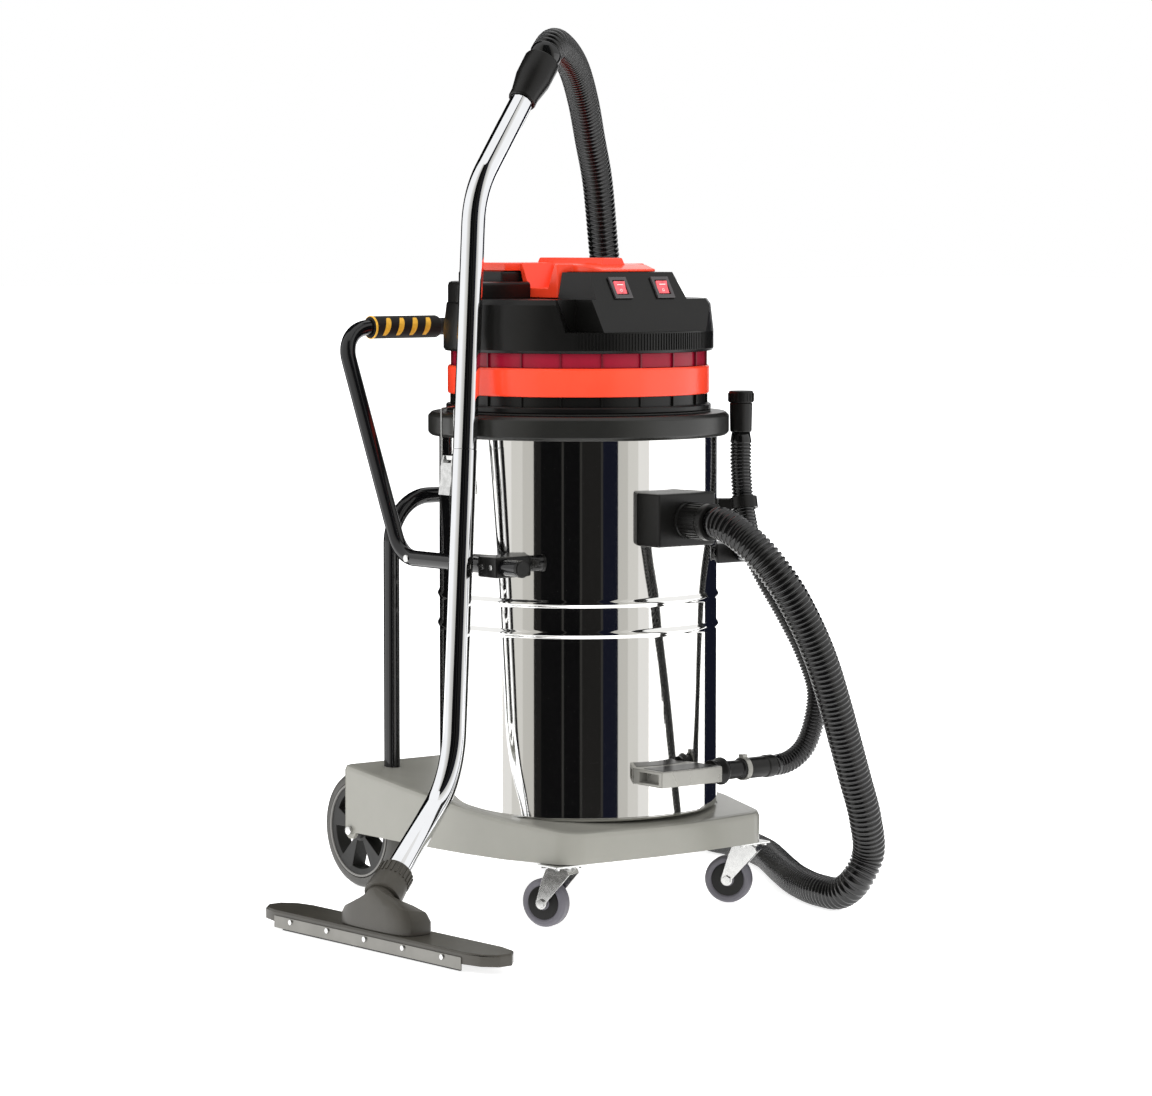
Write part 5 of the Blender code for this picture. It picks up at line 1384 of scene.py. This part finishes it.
def build_machine():
    black = look(
        "black plastic", (0.006, 0.0058, 0.0054), 0.3, grain=0.25, grain_size=0.0011, mottle=0.12, level=0.28
    )
    rim_black = look("ring rubber", (0.013, 0.013, 0.0115), 0.32, grain=0.2, grain_size=0.001, level=0.45)
    gloss = look("black paint", (0.004, 0.004, 0.0045), 0.1, coat=0.0, rough_span=0.03, level=0.5)
    platform_grey = look(
        "trolley plastic", (0.27, 0.267, 0.236), 0.24, grain=0.06, grain_size=0.0012, mottle=0.02, level=0.4
    )
    steel = look(
        "polished steel", (0.89, 0.885, 0.865), 0.05, 1.0, mottle=0.02, rough_span=0.02, streak=(1, 1, 0.12)
    )
    box_steel = look("box steel", (0.3, 0.295, 0.27), 0.28, 0.45, mottle=0.05)
    strip_steel = look("strip steel", (0.2, 0.195, 0.18), 0.3, 0.8, mottle=0.1)
    chrome = look("chrome", (0.9, 0.91, 0.93), 0.03, 1.0, mottle=0.02, rough_span=0.01)
    zinc = look("zinc plate", (0.66, 0.66, 0.65), 0.24, 1.0, mottle=0.12, mottle_size=0.008, rough_span=0.12)
    orange = look("orange plastic", (0.93, 0.058, 0.02), 0.24, mottle=0.04, grain=0.06, grain_size=0.002)
    # Darker red for the vent band's ribs: painted shade of the band's notches.
    red = look("red plastic", (0.12, 0.002, 0.01), 0.3, mottle=0.05)
    deep_red = look("deep red plastic", (0.25, 0.0015, 0.018), 0.3, mottle=0.08, level=0.3)
    rubber = look("seal rubber", (0.025, 0.024, 0.023), 0.6, grain=0.2)
    castor_tyre = look("castor tyre", (0.115, 0.11, 0.128), 0.45, grain=0.15, grain_size=0.002)
    tyre = look("wheel tyre", (0.075, 0.073, 0.068), 0.42, grain=0.15, grain_size=0.002, level=0.3)
    wheel_grey = look("wheel plastic", (0.014, 0.014, 0.013), 0.36, mottle=0.08, level=0.3)
    # Pale grey for the wheels' lip rings: painted highlight on the rim edges.
    pale = look("painted rim highlight", (0.16, 0.155, 0.145), 0.35, mottle=0.05)
    tool_grey = look("tool plastic", (0.05, 0.046, 0.038), 0.34, grain=0.12, grain_size=0.0012, level=0.35)
    hose_black = look(
        "hose plastic", (0.0035, 0.0035, 0.0035), 0.13, rough_span=0.05, mottle=0.2, mottle_size=0.02,
        level=0.6
    )
    foam = look("grip foam", (0.009, 0.007, 0.006), 0.75, grain=0.5, grain_size=0.0008)
    yellow = look(
        "grip yellow", (0.78, 0.42, 0.03), 0.55, grain=0.3, grain_size=0.0008, mottle=0.12, mottle_size=0.006
    )
    lens = look("red lens", (0.82, 0.1, 0.12), 0.1, coat=0.5, mottle=0.28, mottle_size=0.006)
    bezel = look("switch frame", (0.035, 0.03, 0.032), 0.12, coat=0.5)
    white = look("float plastic", (0.72, 0.7, 0.68), 0.35, mottle=0.03)
    aluminium = look("fan aluminium", (0.62, 0.62, 0.63), 0.3, 1.0)

    build_platform(platform_grey)
    build_rear_axle(zinc)
    for side in ("left", "right"):
        build_wheel_parts(side, wheel_grey, tyre, pale)
        build_castor(side, zinc, castor_tyre)
        castor_details(side, zinc, black)
        build_clamp(side, black)
        clamp_details(side, zinc, black)
        build_latch(side, zinc)
        build_switch(side, bezel, lens)
        switch_details(side, white)
        build_motor(side, wheel_grey, aluminium)
    build_rear_frame(gloss)
    build_push_handle(gloss, foam)
    grip_details(yellow)
    build_tank(steel)
    build_ring(rim_black)
    build_inlet(black)
    build_drain(box_steel, black)
    drain_details(black)
    build_drain_top(black)
    build_drain_clip(black)
    cuff_details(black)
    build_head_base(black)
    build_seal(rubber)
    build_bands(orange, deep_red)
    band_ribs(red, black)
    build_cover(black)
    cover_fins(black)
    build_cap(orange)
    build_cage(wheel_grey, white)
    build_gland(black)
    build_wand(chrome, black, tool_grey)
    wand_details(tool_grey)
    build_tool(tool_grey, rubber, strip_steel)
    tool_details(zinc)
    finish_pieces()
    ribbed_hose("main_hose", HOSE_ROUTE, HOSE_R, MAIN_RIBS, hose_black)
    ribbed_hose("drain_hose", DRAIN_ROUTE, DRAIN_HOSE_R, DRAIN_RIBS, hose_black, 24)


# ---- camera, light and surroundings ----------------------------------------------------
def emission(name, colour):
    mat = bpy.data.materials.new(name)
    mat.use_nodes = True
    tree = mat.node_tree
    tree.nodes.clear()
    glow = tree.nodes.new("ShaderNodeEmission")
    glow.inputs["Color"].default_value = (*colour, 1.0)
    out = tree.nodes.new("ShaderNodeOutputMaterial")
    tree.links.new(glow.outputs["Emission"], out.inputs["Surface"])
    return mat


def card(name, start, end, mat):
    """Upright curved card round the tank that only glossy rays see; degrees from the camera's side."""
    bm = bmesh.new()
    azimuth, width = (start + end) / 2, end - start
    steps = max(2, int(width / 3))
    rows = []
    for k in range(steps + 1):
        a = CAMERA_AZIMUTH + math.radians(azimuth - width / 2 + width * k / steps)
        x, y = math.cos(a) * CARD_RADIUS, math.sin(a) * CARD_RADIUS
        rows.append([bm.verts.new(AXIS + Vector((x, y, z))) for z in CARD_Z])
    for one, two in zip(rows, rows[1:]):
        bm.faces.new([one[0], two[0], two[1], one[1]])
    obj = add_object(name, bm, mat)
    obj.visible_camera = False
    obj.visible_shadow = False
    obj.visible_diffuse = False
    obj.visible_transmission = False
    return obj


def lamp(name, where, target, size, power):
    data = bpy.data.lights.new(name, "AREA")
    data.shape = "SQUARE"
    data.size = size
    data.energy = power
    obj = bpy.data.objects.new(name, data)
    bpy.context.scene.collection.objects.link(obj)
    obj.location = AXIS + Vector(where)
    obj.rotation_mode = "QUATERNION"
    obj.rotation_quaternion = (Vector(target) - Vector(where)).to_track_quat("-Z", "Y")
    obj.visible_glossy = False
    return obj


CARDS = (
    ("card left 1", -58.0, -50.0, "bright"), ("card left 2", -50.0, -41.0, "pale"),
    ("card left 3", -41.0, -32.5, "soft"),
    ("card front 1", -32.5, -27.0, "dusk"), ("card front 2", -27.0, -12.0, "night"),
    ("card front 3", -12.0, -10.5, "dim"),
    ("card front 4", -10.5, 1.0, "night"), ("card front 5", 1.0, 2.5, "dim"),
    ("card front 6", 2.5, 16.0, "dusk"),
    ("card front 7", 16.0, 17.5, "dim"), ("card front 8", 17.5, 28.5, "blue"),
    ("card right 1", 28.5, 36.0, "soft"),
    ("card right 2", 36.0, 44.0, "pale"), ("card right 3", 44.0, 53.0, "bright"),
    ("card far right", 116.0, 150.0, "blue"), ("card far left", -165.0, -116.0, "night"),
)
CARD_COLOURS = {
    "night": (0.0035, 0.0035, 0.0038), "dusk": (0.013, 0.0125, 0.012), "blue": (0.007, 0.008, 0.016),
    "dim": (0.035, 0.034, 0.032), "soft": (0.54, 0.53, 0.5), "pale": (0.66, 0.65, 0.62),
    "bright": (0.82, 0.81, 0.79),
}
CARD_RADIUS = 0.9
CARD_Z = (0.0005, 3.2)
CAMERA_AT = Vector((-4.073, -5.025, 1.065))       # from the tank's axis
CAMERA_HEADING = (0.629, 0.777)                   # x, y of the view's direction
CAMERA_TILT = 4.45                                # degrees down
CAMERA_LENS = 128.1
CAMERA_AZIMUTH = math.atan2(CAMERA_AT.y, CAMERA_AT.x)


def build_surroundings():
    scene = bpy.context.scene
    data = bpy.data.cameras.new("camera")
    data.lens = CAMERA_LENS
    data.sensor_width = 36.0
    camera = bpy.data.objects.new("camera", data)
    scene.collection.objects.link(camera)
    camera.location = AXIS + CAMERA_AT
    tilt = math.radians(CAMERA_TILT)
    x, y = CAMERA_HEADING
    ahead = Vector((x * math.cos(tilt), y * math.cos(tilt), -math.sin(tilt)))
    camera.rotation_mode = "QUATERNION"
    camera.rotation_quaternion = ahead.to_track_quat("-Z", "Y")
    scene.camera = camera
    scene.view_settings.view_transform = "Standard"

    world = bpy.data.worlds.new("world")
    world.use_nodes = True
    world.node_tree.nodes["Background"].inputs["Color"].default_value = (1.0, 1.0, 1.0, 1.0)
    world.node_tree.nodes["Background"].inputs["Strength"].default_value = 1.0
    scene.world = world

    bm = bmesh.new()
    bmesh.ops.create_grid(bm, x_segments=1, y_segments=1, size=60.0)
    floor = add_object("floor", bm, floor_material())
    floor.location = (0, 0, -0.0005)

    mats = {name: emission(f"{name} card", colour) for name, colour in CARD_COLOURS.items()}
    for name, start, end, tone in CARDS:
        card(name, start, end, mats[tone])
    lamp("key", (-2.6, -1.4, 2.6), (0, 0, 0.7), 1.6, 30.0)
    lamp("top", (0.4, 0.6, 3.0), (0, 0, 0.2), 1.5, 26.0)
    lamp("fill", (1.5, -3.0, 2.2), (0, 0, 0.6), 1.4, 10.0)


def floor_material():
    """White floor that stays white under the machine, as on a cut-out picture."""
    mat = bpy.data.materials.new("floor")
    mat.use_nodes = True
    tree = mat.node_tree
    shader = tree.nodes["Principled BSDF"]
    shader.inputs["Base Color"].default_value = (0.85, 0.85, 0.85, 1.0)
    shader.inputs["Roughness"].default_value = 0.9
    shader.inputs["Emission Color"].default_value = (1.0, 1.0, 1.0, 1.0)
    shader.inputs["Emission Strength"].default_value = 0.8
    noise = tree.nodes.new("ShaderNodeTexNoise")
    noise.inputs["Scale"].default_value = 3.0
    ramp = tree.nodes.new("ShaderNodeValToRGB")
    ramp.color_ramp.elements[0].color = (0.84, 0.84, 0.84, 1.0)
    ramp.color_ramp.elements[1].color = (0.87, 0.87, 0.87, 1.0)
    tree.links.new(noise.outputs["Fac"], ramp.inputs["Fac"])
    tree.links.new(ramp.outputs["Color"], shader.inputs["Base Color"])
    return mat


build_machine()
build_surroundings()
